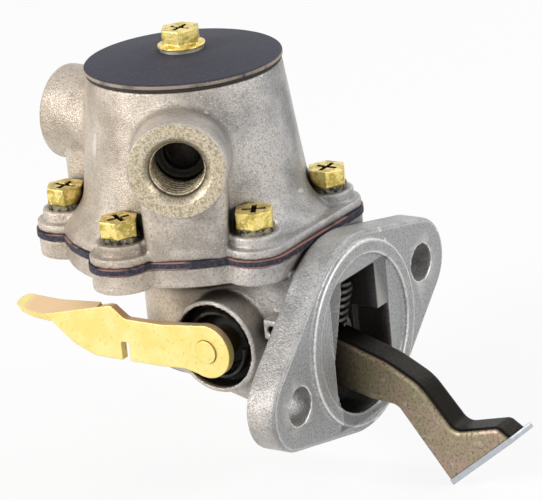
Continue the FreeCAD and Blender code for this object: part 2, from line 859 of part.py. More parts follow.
# Diaphragm stack: rubberised cloth between two plates, nipped on the pull rod by a nut.
def build_diaphragm_stack():
    diaphragm = new_part("diaphragm")
    lobed_plate(diaphragm, -joint_half, d.diaphragm_thickness, grow=d.diaphragm_overhang)
    hole = sketch_on(diaphragm, "XY_Plane", lift=-joint_half)
    add_circle(hole, 0, 0, d.rod_thread_radius + d.rod_fit)
    pocket(diaphragm, hole, d.diaphragm_thickness, backwards=True)
    screw_holes(
        diaphragm, -joint_half, d.diaphragm_thickness, d.screw_radius + d.screw_clearance
    )

    bore = d.rod_thread_radius + d.rod_fit
    plate_top = joint_half + d.plate_thickness
    upper = new_part("diaphragm_upper_plate")
    spin(
        upper,
        [
            (bore, joint_half),
            (d.plate_radius - d.plate_lip, joint_half),
            (d.plate_radius, joint_half + d.plate_lip / 2),
            (d.plate_radius, plate_top + d.plate_lip / 2),
            (d.plate_radius - d.plate_lip, plate_top),
            (bore, plate_top),
        ],
    )

    plate_bottom = -plate_top
    lower = new_part("diaphragm_lower_plate")
    spin(
        lower,
        [
            (bore, -joint_half),
            (bore, plate_bottom),
            (d.plate_radius - d.plate_lip, plate_bottom),
            (d.plate_radius, plate_bottom - d.plate_lip / 2),
            (d.plate_radius, -joint_half - d.plate_lip / 2),
            (d.plate_radius - d.plate_lip, -joint_half),
        ],
    )

    rod = new_part("pull_rod")
    foot_top = -(d.link_top + d.link_thickness + d.running_gap)
    foot_edge = foot_top - d.foot_cone
    foot_bottom = foot_top - d.foot_thickness
    thread_top = plate_top + d.nut_height
    spin(
        rod,
        [
            (0, foot_bottom),
            (d.foot_radius, foot_bottom),
            (d.foot_radius, foot_edge),
            (d.rod_radius, foot_top),
            (d.rod_radius, plate_bottom),
            (d.rod_thread_radius, plate_bottom),
            (d.rod_thread_radius, thread_top),
            (0, thread_top),
        ],
    )

    nut = new_part("rod_nut", height=plate_top)
    outline = sketch_on(nut, "XY_Plane")
    hexagon(outline, d.head_flats)
    add_circle(outline, 0, 0, d.rod_thread_radius + d.thread_allowance)
    pad(nut, outline, d.nut_height - d.running_gap)

    floor = -d.well_floor
    retainer = new_part("seal_retainer")
    cup_inner = d.rod_seal_radius
    cup_outer = cup_inner + d.retainer_wall
    flange_top = floor + d.retainer_thickness
    spin(
        retainer,
        [
            (cup_inner, floor),
            (d.retainer_radius, floor),
            (d.retainer_radius, flange_top),
            (cup_outer, flange_top),
            (cup_outer, floor + d.rod_seal_height),
            (cup_inner, floor + d.rod_seal_height),
        ],
    )

    seal = new_part("rod_seal")
    seal_bore = d.rod_radius + d.rod_fit
    seal_top = floor + d.rod_seal_height
    spin(
        seal,
        [
            (seal_bore, floor),
            (cup_inner, floor),
            (cup_inner, seal_top),
            (seal_bore + d.retainer_wall, seal_top),
            (seal_bore, seal_top - d.retainer_wall),
        ],
    )

    spring = coil(
        "diaphragm_spring",
        d.main_spring_radius,
        d.main_spring_wire,
        plate_bottom - flange_top,
        d.main_spring_coils,
        height=flange_top,
    )
    return diaphragm, upper, lower, rod, nut, retainer, seal, spring


def lies_at(points, axis, level):
    """True for an edge that lies wholly at one level along an axis."""
    return all(abs(getattr(point, axis) - level.number) < 0.01 for point in points)


# Lower housing: the casting with the spring well, the rocker chamber, the primer boss and the flange.
def build_lower_housing():
    body = new_part("lower_housing")
    top = -joint_half
    flange_low = top - d.lower_flange
    lobed_plate(body, flange_low, d.lower_flange)
    spin(
        body,
        [
            (0, top),
            (d.joint_radius, top),
            (d.joint_radius, flange_low),
            (d.skirt_radius, flange_low),
            (d.well_outer_radius, -d.skirt_foot),
            (d.well_outer_radius, -d.well_bottom, d.bottom_round),
            (0, -d.well_bottom),
        ],
    )

    # The neck grows from the well to the back of the mounting flange.
    back = d.axis_reach - d.flange_thickness
    half = d.well_outer_radius
    near = sketch_on(body, "YZ_Plane", lift=ZERO)
    far = sketch_on(body, "YZ_Plane", lift=back)
    for section, bottom in ((near, d.well_bottom), (far, d.neck_bottom)):
        add_outline(
            section,
            [
                (-half, flange_low + 1),
                (half, flange_low + 1),
                (half, -bottom, d.bottom_round),
                (-half, -bottom, d.bottom_round),
            ],
        )
    neck = body.newObject("PartDesign::AdditiveLoft", "neck_loft")
    neck.Profile = near
    neck.Sections = [far]
    neck.Ruled = True

    disc = sketch_on(body, "YZ_Plane", lift=back, along=-d.axis_drop)
    add_circle(disc, 0, 0, d.flange_disc_radius)
    pad(body, disc, d.flange_thickness)
    spacing = d.bolt_spacing / 2
    for side in (1, -1):
        ear = sketch_on(body, "YZ_Plane", lift=back, along=-d.axis_drop, turn=d.bolt_tilt)
        add_circle(ear, spacing * side, 0, d.ear_radius)
        pad(body, ear, d.flange_thickness)
    # Straight flanks run tangent to the disc and the ears.
    lean = (d.flange_disc_radius - d.ear_radius) / spacing
    rise = root(1 - lean * lean)
    disc_x, disc_y = d.flange_disc_radius * lean, d.flange_disc_radius * rise
    ear_x, ear_y = spacing + d.ear_radius * lean, d.ear_radius * rise
    flank = sketch_on(body, "YZ_Plane", lift=back, along=-d.axis_drop, turn=d.bolt_tilt)
    add_outline(
        flank,
        [
            (-ear_x, -ear_y),
            (-disc_x, -disc_y),
            (disc_x, -disc_y),
            (ear_x, -ear_y),
            (ear_x, ear_y),
            (disc_x, disc_y),
            (-disc_x, disc_y),
            (-ear_x, ear_y),
        ],
    )
    pad(body, flank, d.flange_thickness)
    round_edges(body, d.flange_fillet, lambda points: lies_at(points, "x", d.axis_reach))
    spigot = sketch_on(body, "YZ_Plane", lift=d.axis_reach, along=-d.axis_drop)
    add_circle(spigot, 0, 0, d.spigot_radius)
    pad(body, spigot, d.spigot_height)
    recess = sketch_on(body, "YZ_Plane", lift=d.axis_reach + d.spigot_height, along=-d.axis_drop)
    add_circle(recess, 0, 0, d.spigot_inner_radius)
    pocket(body, recess, d.spigot_height)

    # Bosses for the primer shaft, one each side of the rocker chamber.
    wall = d.chamber_width / 2
    for face, radius, backwards in (
        (d.boss_face, d.boss_radius, False),
        (d.far_boss_face, d.far_boss_radius, True),
    ):
        start = wall if not backwards else -wall
        boss = sketch_on(body, "XZ_Plane", lift=start)
        add_circle(boss, d.shaft_reach, -d.shaft_drop, radius)
        pad(body, boss, face - wall, backwards=backwards)
        outer = face if backwards else -face
        round_edges(body, d.boss_mouth_fillet, lambda points: lies_at(points, "y", outer))

    drain_lug(body)

    hollow_out(body)
    hole_low = -d.screw_reach - d.running_gap
    screw_holes(body, hole_low, top - hole_low, d.screw_radius + d.thread_allowance)
    for side in (1, -1):
        hole = sketch_on(body, "YZ_Plane", lift=d.axis_reach, along=-d.axis_drop, turn=d.bolt_tilt)
        add_circle(hole, spacing * side, 0, d.bolt_hole_radius)
        pocket(body, hole, d.flange_thickness)
    return body


def drain_lug(body):
    """A small square lug on the near side of the neck, round the drain hole."""
    wide, rise = d.drain_width / 2, d.drain_rise / 2
    lug = sketch_on(body, "XZ_Plane", lift=d.well_outer_radius - 1)
    add_outline(
        lug,
        [
            (d.drain_reach - wide, -d.drain_drop - rise),
            (d.drain_reach + wide, -d.drain_drop - rise),
            (d.drain_reach + wide, -d.drain_drop + rise),
            (d.drain_reach - wide, -d.drain_drop + rise),
        ],
    )
    pad(body, lug, d.drain_proud + 1)


def hollow_out(body):
    """Cuts the bowl, the spring well, the rocker chamber, the mouth and every bore."""
    top = -joint_half
    spin(
        body,
        [
            (0, top),
            (d.bowl_radius, top),
            (d.bowl_floor_radius, -d.bowl_depth),
            (d.well_radius, -d.bowl_depth - d.plate_lip),
            (d.well_radius, -d.well_floor),
            (d.rod_radius + d.rod_fit, -d.well_floor),
            (d.rod_radius + d.rod_fit, -d.well_floor - d.floor_thickness),
            (d.well_radius, -d.well_floor - d.floor_thickness),
            (d.well_radius, -d.well_bottom + d.bottom_wall, d.bottom_round / 2),
            (0, -d.well_bottom + d.bottom_wall),
        ],
        kind="Groove",
    )
    ceiling = -d.well_floor - d.floor_thickness
    mouth_start = d.axis_reach - d.mouth_depth
    floor_near = -d.well_bottom + d.bottom_wall
    floor_far = -d.mouth_bottom
    chamber = sketch_on(body, "XZ_Plane")
    add_outline(
        chamber,
        [(0, ceiling), (0, floor_near), (mouth_start + 1, floor_far), (mouth_start + 1, ceiling)],
    )
    pocket(body, chamber, d.chamber_width, middle=True)

    mouth = sketch_on(body, "YZ_Plane", lift=d.axis_reach)
    half = d.mouth_width / 2
    bay_half = d.spring_bay_width / 2
    add_outline(
        mouth,
        [
            (-bay_half, -d.spring_bay_top),
            (-bay_half, -d.spring_bay_top - d.spring_bay_step),
            (-half, -d.mouth_slant),
            (-half, -d.mouth_bottom, d.mouth_round),
            (half, -d.mouth_bottom, d.mouth_round),
            (half, -d.mouth_top),
            (bay_half, -d.mouth_top),
            (bay_half, -d.spring_bay_top),
        ],
    )
    pocket(body, mouth, d.mouth_depth)

    # The bay over the rocker holds its return spring and, behind it, the primer shaft.
    bay = sketch_on(body, "XZ_Plane")
    shaft_room = d.shaft_radius + d.running_gap * 2
    wall_line = d.well_outer_radius
    add_outline(
        bay,
        [
            (d.shaft_reach - shaft_room, ceiling - 1),
            (d.shaft_reach - shaft_room, -d.shaft_drop + shaft_room),
            (wall_line, -d.well_floor),
            (wall_line, -d.spring_bay_top - d.spring_bay_step),
            (d.pivot_reach, -d.spring_bay_top),
            (d.axis_reach, -d.spring_bay_top),
            (d.axis_reach, ceiling - 1),
        ],
    )
    pocket(body, bay, d.spring_bay_width, middle=True)

    cup = sketch_on(body, "XZ_Plane", lift=d.boss_face)
    add_circle(cup, d.shaft_reach, -d.shaft_drop, d.cup_radius)
    pocket(body, cup, d.cup_depth)
    groove = sketch_on(body, "XZ_Plane", lift=d.boss_face - d.cup_depth)
    add_circle(groove, d.shaft_reach, -d.shaft_drop, d.oring_radius)
    pocket(body, groove, d.oring_depth)
    bore = sketch_on(body, "XZ_Plane", lift=d.boss_face)
    add_circle(bore, d.shaft_reach, -d.shaft_drop, d.shaft_radius + d.pivot_clearance)
    pocket(body, bore, d.boss_face + d.shaft_end + d.running_gap)
    pin = sketch_on(body, "XZ_Plane")
    add_circle(pin, d.pivot_reach, -d.pivot_drop, d.pin_radius + d.pin_fit)
    pocket(body, pin, d.well_outer_radius * 2, middle=True)
    drain_face = d.well_outer_radius + d.drain_proud
    drain = sketch_on(body, "XZ_Plane", lift=drain_face)
    add_circle(drain, d.drain_reach, -d.drain_drop, d.drain_hole_radius)
    pocket(body, drain, drain_face - d.spring_bay_width / 2 + 1)


# Rocker: a pressed steel channel from the pivot pin out to the cam pad.
def rocker_points():
    """Corners of the rocker measured from its pivot, named by where they lie."""

    def spot(reach, drop):
        return reach - d.pivot_reach, d.pivot_drop - drop

    along, across = cosine(d.pad_slope), sine(d.pad_slope)
    heel_x, heel_y = spot(d.pad_reach, d.pad_drop)
    seat_x = heel_x - d.pad_thickness * across
    seat_y = heel_y + d.pad_thickness * along
    run = d.pad_length - d.pad_overhang
    return {
        "knee": spot(d.knee_reach, d.knee_drop),
        "elbow": spot(d.elbow_reach, d.elbow_drop),
        "valley": spot(d.valley_reach, d.valley_drop),
        "toe": spot(d.toe_reach, d.toe_drop),
        "throat": spot(d.throat_reach, d.throat_drop),
        "belly": spot(d.belly_reach, d.belly_drop),
        "heel": (seat_x, seat_y),
        "tip": (seat_x + run * along, seat_y + run * across),
        "outer_heel": (heel_x, heel_y),
    }


def on_web_edge(arm, points):
    """True for a long edge between the arm's web and a flank, from the hub to the toe."""
    half = d.arm_width.number / 2
    middle = points[4]
    if any(abs(abs(point.y) - half) > 0.01 for point in points):
        return False
    if middle.x < d.rocker_hub_radius.number or points[0].distanceToPoint(points[-1]) < 0.5:
        return False
    inward = FreeCAD.Vector(middle.x, 0, middle.z)
    step = FreeCAD.Vector(0, 0, d.arm_wall.number / 4)
    below = arm.isInside(inward - step, 0.001, True)
    above = arm.isInside(inward + step, 0.001, True)
    return below and not above


def build_rocker():
    arm = new_part("rocker_arm", reach=d.pivot_reach, height=-d.pivot_drop)
    spots = rocker_points()
    hub = d.rocker_hub_radius
    side = sketch_on(arm, "XZ_Plane")
    add_outline(
        side,
        [
            (0, hub),
            (*spots["knee"], hub * 3),
            (*spots["elbow"], hub * 2),
            (*spots["valley"], hub / 2),
            (*spots["toe"], hub / 3),
            spots["tip"],
            spots["heel"],
            (*spots["throat"], hub / 2),
            (*spots["belly"], hub),
            (0, -hub),
        ],
    )
    pad(arm, side, d.arm_width, middle=True)
    boss = sketch_on(arm, "XZ_Plane")
    add_circle(boss, 0, 0, hub)
    pad(arm, boss, d.arm_width, middle=True)
    tongue = sketch_on(arm, "XZ_Plane")
    tongue_x = d.tongue_reach - d.pivot_reach
    tongue_y = d.pivot_drop - d.link_top + d.running_gap
    lift = d.arm_wall + 1
    add_outline(
        tongue,
        [
            (tongue_x, tongue_y),
            (0, tongue_y),
            (0, hub),
            (tongue_x / 2, hub - 1),
            (tongue_x, tongue_y + lift),
        ],
    )
    pad(arm, tongue, d.arm_width, middle=True)

    round_edges(arm, d.arm_edge_radius, lambda points: on_web_edge(arm.Tip.Shape, points))

    # The channel is hollow from below, so only the web and two flanks are left.
    wall = d.arm_wall
    inside = sketch_on(arm, "XZ_Plane")
    knee, elbow = spots["knee"], spots["elbow"]
    valley, toe, tip = spots["valley"], spots["toe"], spots["tip"]
    deep = spots["outer_heel"][1] - hub
    add_outline(
        inside,
        [
            (-hub + wall, hub - wall * 2),
            (0, hub - wall),
            (knee[0] - wall / 2, knee[1] - wall, hub * 2),
            (elbow[0] - wall, elbow[1] - wall, hub),
            (valley[0] - wall, valley[1] - wall, hub / 3),
            (toe[0] - wall / 2, toe[1] - wall * 5 / 4),
            (tip[0] - wall, tip[1] - wall),
            (tip[0] + wall, tip[1] - wall * 3),
            (tip[0] + wall, deep),
            (-hub + wall, deep),
        ],
    )
    pocket(arm, inside, d.arm_width - wall * 2, middle=True)
    bore = sketch_on(arm, "XZ_Plane")
    add_circle(bore, 0, 0, d.pin_radius + d.pivot_clearance)
    pocket(arm, bore, d.arm_width, middle=True)

    contact = new_part("contact_pad", reach=d.pivot_reach, height=-d.pivot_drop)
    heel_x, heel_y = spots["outer_heel"]
    along, across = cosine(d.pad_slope), sine(d.pad_slope)
    end_x = heel_x + d.pad_length * along
    end_y = heel_y + d.pad_length * across
    lift_x = -d.pad_thickness * across
    lift_y = d.pad_thickness * along
    plate = sketch_on(contact, "XZ_Plane")
    add_outline(
        plate,
        [
            (heel_x, heel_y),
            (end_x, end_y, d.pad_thickness / 3),
            (end_x + lift_x, end_y + lift_y, d.pad_thickness / 3),
            (heel_x + lift_x, heel_y + lift_y),
        ],
    )
    pad(contact, plate, d.pad_width, middle=True)
    return arm, contact


# Link: a pressed fork on the rocker's pin that draws the pull rod down.
def build_link():
    link = new_part("link_lever", reach=d.pivot_reach, height=-d.pivot_drop)
    width = d.arm_width + (d.link_thickness + d.running_gap) * 2
    start = d.link_start - d.pivot_reach
    end = d.tongue_reach - d.pivot_reach + 1
    plate_top = d.pivot_drop - d.link_top
    plate_low = plate_top - d.link_thickness
    strip = sketch_on(link, "XZ_Plane")
    add_outline(
        strip, [(start, plate_low), (end, plate_low), (end, plate_top), (start, plate_top)]
    )
    pad(link, strip, width, middle=True)
    hub = d.link_hub_radius
    cheeks = sketch_on(link, "XZ_Plane")
    add_outline(cheeks, [(end * 2, plate_low), (0, -hub), (0, hub), (end, plate_top), (end * 2, plate_top)])
    pad(link, cheeks, width, middle=True)
    eye = sketch_on(link, "XZ_Plane")
    add_circle(eye, 0, 0, hub)
    pad(link, eye, width, middle=True)
    between = sketch_on(link, "XZ_Plane")
    add_outline(
        between,
        [
            (end, hub + 1),
            (end, plate_low),
            (end * 2 - 1, plate_low),
            (end * 2 - 1, -hub - 1),
            (hub + 1, -hub - 1),
            (hub + 1, hub + 1),
        ],
    )
    pocket(link, between, d.arm_width + d.running_gap * 2, middle=True)
    slot = sketch_on(link, "XY_Plane", lift=plate_top)
    half = d.rod_radius + d.running_gap
    reach = d.link_slot_half
    add_outline(
        slot,
        [
            (-d.pivot_reach - reach, -half),
            (-d.pivot_reach + reach, -half),
            (-d.pivot_reach + reach, half),
            (-d.pivot_reach - reach, half),
        ],
    )
    pocket(link, slot, d.link_thickness)
    bore = sketch_on(link, "XZ_Plane")
    add_circle(bore, 0, 0, d.pin_radius + d.pivot_clearance)
    pocket(link, bore, width, middle=True)
    return link


# Pivot pin with a spacer tube each side, and the rocker's return spring.
def build_pivot():
    pin = new_part("pivot_pin", reach=d.pivot_reach, height=-d.pivot_drop)
    bar = sketch_on(pin, "XZ_Plane")
    add_circle(bar, 0, 0, d.pin_radius)
    pad(pin, bar, (d.well_outer_radius - d.pin_recess) * 2, middle=True)

    spacers = []
    link_half = d.arm_width / 2 + d.link_thickness + d.running_gap
    length = d.chamber_width / 2 - link_half - d.running_gap * 2
    for name, backwards in (("near_pin_spacer", False), ("far_pin_spacer", True)):
        tube = new_part(name, reach=d.pivot_reach, height=-d.pivot_drop)
        start = link_half + d.running_gap
        ring = sketch_on(tube, "XZ_Plane", lift=-start if backwards else start)
        add_circle(ring, 0, 0, d.pin_radius + d.pin_radius / 2)
        add_circle(ring, 0, 0, d.pin_radius + d.pin_fit)
        pad(tube, ring, length, backwards=backwards)
        spacers.append(tube)

    # The spring stands on the rocker's web and leans with it.
    slope = (d.knee_drop - d.pivot_drop + d.rocker_hub_radius) / (d.knee_reach - d.pivot_reach)
    web = d.pivot_drop - d.rocker_hub_radius + slope * (d.return_reach - d.pivot_reach)
    spring = coil(
        "rocker_return_spring",
        d.return_radius,
        d.return_wire,
        d.return_length,
        d.return_coils,
        reach=d.return_reach,
        height=-web + d.running_gap,
    )
    spring.Placement = FreeCAD.Placement(
        spring.Placement.Base,
        FreeCAD.Rotation(FreeCAD.Vector(0, 1, 0), DRIVING["return_tilt"]),
    )
    spring.setExpression("Placement.Rotation.Angle", d.return_tilt.formula)
    return [pin, *spacers, spring]


# Primer: a half-moon shaft across the chamber, turned by a folded steel lever outside the boss.
def build_primer():
    place = {"reach": d.shaft_reach, "height": -d.shaft_drop}
    plate_in = d.boss_face + d.lever_gap
    plate_out = plate_in + d.lever_thickness

    shaft = new_part("primer_shaft", **place)
    bar = sketch_on(shaft, "XZ_Plane", lift=-d.shaft_end)
    add_circle(bar, 0, 0, d.shaft_radius)
    pad(shaft, bar, d.shaft_end + plate_in)
    stub = sketch_on(shaft, "XZ_Plane", lift=plate_in)
    add_circle(stub, 0, 0, d.spigot_end_radius)
    pad(shaft, stub, d.lever_thickness + d.spigot_end_proud)
    flat = sketch_on(shaft, "XZ_Plane")
    wide = d.shaft_radius * 2
    add_outline(
        flat, [(-wide, -wide), (wide, -wide), (wide, -d.half_moon), (-wide, -d.half_moon)]
    )
    pocket(shaft, flat, d.half_moon_width, middle=True)

    lever = new_part("primer_lever", **place)
    build_lever(lever, plate_in)

    spring = new_part("primer_return_spring", **place)
    ring = sketch_on(spring, "XY_Plane")
    start = d.boss_face - d.cup_depth + d.torsion_wire
    across = d.torsion_wire * root(as_size(3))
    hexagon(ring, across, d.torsion_radius, -start - d.torsion_wire)
    helix = spring.newObject("PartDesign::AdditiveHelix", "primer_return_spring_helix")
    helix.Profile = ring
    helix.ReferenceAxis = (ring, ["V_Axis"])
    helix.Mode = "height-turns-angle"
    helix.Reversed = True
    helix.setExpression("Height", (d.torsion_wire * d.torsion_coils * 2.1).formula)
    helix.setExpression("Turns", d.torsion_coils.formula)

    oring = new_part("primer_shaft_seal", **place)
    seat = sketch_on(oring, "XZ_Plane", lift=d.boss_face - d.cup_depth - d.oring_depth)
    add_circle(seat, 0, 0, d.oring_radius)
    add_circle(seat, 0, 0, d.shaft_radius + d.pivot_clearance)
    pad(oring, seat, d.oring_depth - d.running_gap)
    return shaft, lever, spring, oring


def build_lever(lever, plate_in):
    """The lever's upright plate and the thumb pad folded over from its outer top edge."""
    hub = d.lever_hub_radius
    bend = d.lever_thickness
    fold_end = d.fold_start + d.fold_length * cosine(d.fold_slope)
    fold_end_top = d.fold_top - d.fold_length * sine(d.fold_slope)
    plate = sketch_on(lever, "XZ_Plane", lift=plate_in)
    add_outline(
        plate,
        [
            (0, hub),
            (-d.lever_waist, d.lever_waist_top, hub),
            (-d.lever_step, d.lever_waist_top, bend),
            (-d.lever_brow, d.lever_brow_top, bend / 4),
            (-d.fold_start, d.fold_top),
            (-fold_end, fold_end_top),
            (-d.lever_chin, -d.lever_chin_low, bend * 2),
            (-d.lever_jaw, -d.lever_low, bend * 2),
            (-d.notch_outer, -d.lever_low),
            (-d.notch_outer, -d.notch_top, bend / 4),
            (-d.notch_inner, -d.notch_top, bend / 4),
            (-d.notch_inner, -d.lever_low),
            (-d.lever_shoulder - hub, -d.lever_low, bend),
            (-d.lever_shoulder, -d.lever_shoulder_low, bend),
            (0, -hub),
        ],
    )
    pad(lever, plate, d.lever_thickness)
    eye = sketch_on(lever, "XZ_Plane", lift=plate_in)
    add_circle(eye, 0, 0, hub)
    pad(lever, eye, d.lever_thickness)

    # The thumb pad's plane slopes along the fold and rises away from it.
    outer_face = -(plate_in + d.lever_thickness)
    thumb = sketch_on(
        lever, "XY_Plane", lift=d.fold_top, across=-d.fold_start, along=outer_face
    )
    slope = f"rotation(vector(0; -1; 0); {d.fold_slope.formula})"
    tilt = f"rotation(vector(1; 0; 0); {d.fold_tilt.formula})"
    thumb.setExpression("AttachmentOffset.Rotation", f"{slope} * {tilt}")
    add_outline(
        thumb,
        [
            (-d.thumb_root, 0),
            (-d.fold_length, 0),
            (-d.thumb_side, d.thumb_side_depth, bend * 2),
            (-d.thumb_reach, d.thumb_tip_depth, bend),
            (-d.thumb_corner, d.thumb_width, bend / 2),
            (-d.thumb_heel, d.thumb_heel_depth, bend * 2),
            (-d.thumb_root, bend),
        ],
    )
    pad(lever, thumb, d.lever_thickness, backwards=True)
    hole = sketch_on(lever, "XZ_Plane", lift=plate_in)
    add_circle(hole, 0, 0, d.spigot_end_radius + d.thread_allowance)
    pocket(lever, hole, d.lever_thickness, backwards=True)


parts = [build_upper_housing()]
parts += build_cover()
parts += build_joint_screws()
parts += build_valve("outlet", 1, True)
parts += build_valve("inlet", -1, False)
parts.append(build_strainer())
parts += build_diaphragm_stack()
parts.append(build_lower_housing())
parts += build_rocker()
parts.append(build_link())
parts += build_pivot()
parts += build_primer()

doc.recompute()
for item in doc.Objects:
    if "Invalid" in item.State or "Error" in item.State:
        raise RuntimeError(f"{item.Name} did not compute: {item.State}")

os.makedirs(EXPORT_FOLDER, exist_ok=True)
for part in parts:
    if part.Shape.isNull() or not part.Shape.isValid() or part.Shape.Volume <= 0:
        raise RuntimeError(f"{part.Label} has no valid solid")
    part.Shape.exportStep(os.path.join(EXPORT_FOLDER, f"{part.Label}.step"))
    print(part.Label, len(part.Shape.Solids), round(part.Shape.Volume, 1))
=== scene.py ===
import math

import bmesh
import bpy
from mathutils import Matrix, Vector, noise


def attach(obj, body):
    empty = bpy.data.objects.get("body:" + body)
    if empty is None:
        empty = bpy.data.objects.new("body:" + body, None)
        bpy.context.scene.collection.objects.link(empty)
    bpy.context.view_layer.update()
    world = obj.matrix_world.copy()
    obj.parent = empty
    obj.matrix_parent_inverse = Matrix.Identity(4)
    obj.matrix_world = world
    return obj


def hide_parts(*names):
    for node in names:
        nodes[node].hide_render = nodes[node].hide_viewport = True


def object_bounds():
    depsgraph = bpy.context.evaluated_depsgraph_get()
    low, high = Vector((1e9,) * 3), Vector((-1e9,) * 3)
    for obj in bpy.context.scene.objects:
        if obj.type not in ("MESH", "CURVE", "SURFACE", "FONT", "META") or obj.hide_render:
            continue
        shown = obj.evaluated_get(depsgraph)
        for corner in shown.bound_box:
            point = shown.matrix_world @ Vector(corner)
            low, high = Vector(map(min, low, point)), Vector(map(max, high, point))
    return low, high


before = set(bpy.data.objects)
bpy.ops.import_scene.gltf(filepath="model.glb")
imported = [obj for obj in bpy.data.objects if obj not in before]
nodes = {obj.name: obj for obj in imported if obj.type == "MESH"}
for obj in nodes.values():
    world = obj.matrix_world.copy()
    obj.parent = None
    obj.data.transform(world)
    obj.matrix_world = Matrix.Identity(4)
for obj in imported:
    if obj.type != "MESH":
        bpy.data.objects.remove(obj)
cad_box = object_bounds()


# The upper housing is a gravity die casting in an aluminium alloy with a sandy skin. All its edges
# are softly rounded, apart from the two port mouths, which are machined and have tarnished. Deeper
# in each port the bore is painted black, as painted shade.
MILLIMETRE = 0.001
MASK_EDGE = 0.1 * MILLIMETRE
AXIS_REACH = 41.8 * MILLIMETRE
PORT_HEIGHT = 45.3 * MILLIMETRE
PORT_FACE = 34.8 * MILLIMETRE
PORT_FACE_SKIN = 0.15 * MILLIMETRE
PORT_MOUTH = 7.7 * MILLIMETRE
PORT_SHADE = 2.5 * MILLIMETRE
OUTLET_ANGLE = math.radians(-60)
INLET_ANGLE = math.radians(180)
CASTING_VOXEL = 0.40 * MILLIMETRE
CASTING_FACES_KEPT = 0.35
TRIM_ROUNDS = 1
ROUNDING_ROUNDS = 5
MACHINED_MARGIN = 0.6 * MILLIMETRE
SKIN_WAVE = 7.0 * MILLIMETRE
SKIN_WAVE_DEPTH = 0.07 * MILLIMETRE
SAND_CLOUD = 90
SAND_GRAIN = 1700
SAND_FINE = 3600
SAND_DEPTH = 0.30 * MILLIMETRE
CORNER_REACH = 6 * MILLIMETRE
# The lit side, towards the key lamp, is painted lighter and warmer, as painted light.
LIT_SIDE = (-0.83, -0.55)
WARM_START = -22 * MILLIMETRE
WARM_WIDTH = 36 * MILLIMETRE
WARM_DRIFT = 40 * MILLIMETRE
WARM_LIGHT = (0.60, 0.515, 0.425, 1)
WARM_DARK = (0.31, 0.245, 0.18, 1)
COOL_LIGHT = (0.47, 0.465, 0.465, 1)
COOL_DARK = (0.20, 0.195, 0.19, 1)
# Painted shade for corners and creases, and a painted highlight for glints and edges.
CAST_SHADE = (0.055, 0.043, 0.032, 1)
CAST_GLINT = (0.86, 0.84, 0.80, 1)
# Painted shade, black, deep in the ports, in the mouth and cup, and on the rocker inside.
SHADE_BLACK = (0.012, 0.010, 0.008, 1)
PORT_KHAKI = (0.62, 0.53, 0.37, 1)
PORT_FLECK = (0.26, 0.20, 0.12, 1)


class Field:
    """A number or colour that varies over a surface: one output of a material's nodes."""

    def __init__(self, finish, socket):
        self.finish = finish
        self.socket = socket

    def maths(self, operation, other=0.0, swap=False):
        values = (other, self) if swap else (self, other)
        return self.finish.add("ShaderNodeMath", {"operation": operation}, dict(enumerate(values)))

    def __add__(self, other):
        return self.maths("ADD", other)

    def __sub__(self, other):
        return self.maths("SUBTRACT", other)

    def __mul__(self, other):
        return self.maths("MULTIPLY", other)

    def __radd__(self, other):
        return self.maths("ADD", other, swap=True)

    def __rsub__(self, other):
        return self.maths("SUBTRACT", other, swap=True)

    def __rmul__(self, other):
        return self.maths("MULTIPLY", other, swap=True)

    def above(self, limit, soft):
        """0 below the limit, rising to 1 over the soft distance."""
        settings = {"operation": "MULTIPLY", "use_clamp": True}
        return self.finish.add("ShaderNodeMath", settings, {0: self - limit, 1: 1 / soft})

    def below(self, limit, soft):
        """1 below the limit, falling to 0 over the soft distance."""
        return 1 - self.above(limit, soft)


class Finish:
    """One material or world: add makes its nodes, and surface sets its shader's sockets."""

    def __init__(self, name, owner=None):
        self.owner = owner or bpy.data.materials.new(name)
        self.owner.use_nodes = True
        self.nodes = self.owner.node_tree.nodes
        self.links = self.owner.node_tree.links
        self.shader = self.nodes.get("Principled BSDF")
        self.place = self.add("ShaderNodeTexCoord", output="Object")

    def feed(self, socket, value):
        if isinstance(value, Field):
            self.links.new(value.socket, socket)
        else:
            socket.default_value = value

    def add(self, kind, settings=None, inputs=None, output=0):
        node = self.nodes.new(kind)
        for name, value in (settings or {}).items():
            setattr(node, name, value)
        for name, value in (inputs or {}).items():
            self.feed(node.inputs[name], value)
        return Field(self, node.outputs[output])

    def noise(self, scale, detail=3.0, roughness=0.55):
        inputs = {"Vector": self.place, "Scale": scale, "Detail": detail, "Roughness": roughness}
        return self.add("ShaderNodeTexNoise", {}, inputs)

    def tint(self, factor, first, second):
        """The first colour where factor is 0, the second where it is 1."""
        return self.add("ShaderNodeMix", {"data_type": "RGBA"}, {0: factor, 6: first, 7: second}, 2)

    def surface(self, **sockets):
        for name, value in sockets.items():
            self.feed(self.shader.inputs[name.replace("_", " ").title()], value)

    def relief(self, height, depth, edge=0.0):
        """Bump of a given depth in metres, over edges that are rounded in the shading."""
        inputs = {"Height": height, "Distance": depth, "Strength": 1.0}
        if edge:
            inputs["Normal"] = self.add("ShaderNodeBevel", {"samples": 6}, {"Radius": edge})
        self.surface(normal=self.add("ShaderNodeBump", {}, inputs))

    def axis(self, letter, vector=None):
        """One coordinate of a point in the part's own frame, or of another vector."""
        return self.add("ShaderNodeSeparateXYZ", {}, {0: vector or self.place}, letter)

    def geometry(self, output):
        return self.add("ShaderNodeNewGeometry", output=output)

    def corner_shade(self, reach):
        """Painted shade: 1 deep in a corner, 0 in the open."""
        settings = {"samples": 8, "only_local": False}
        open_air = self.add("ShaderNodeAmbientOcclusion", settings, {"Distance": reach}, "AO")
        return 1 - open_air


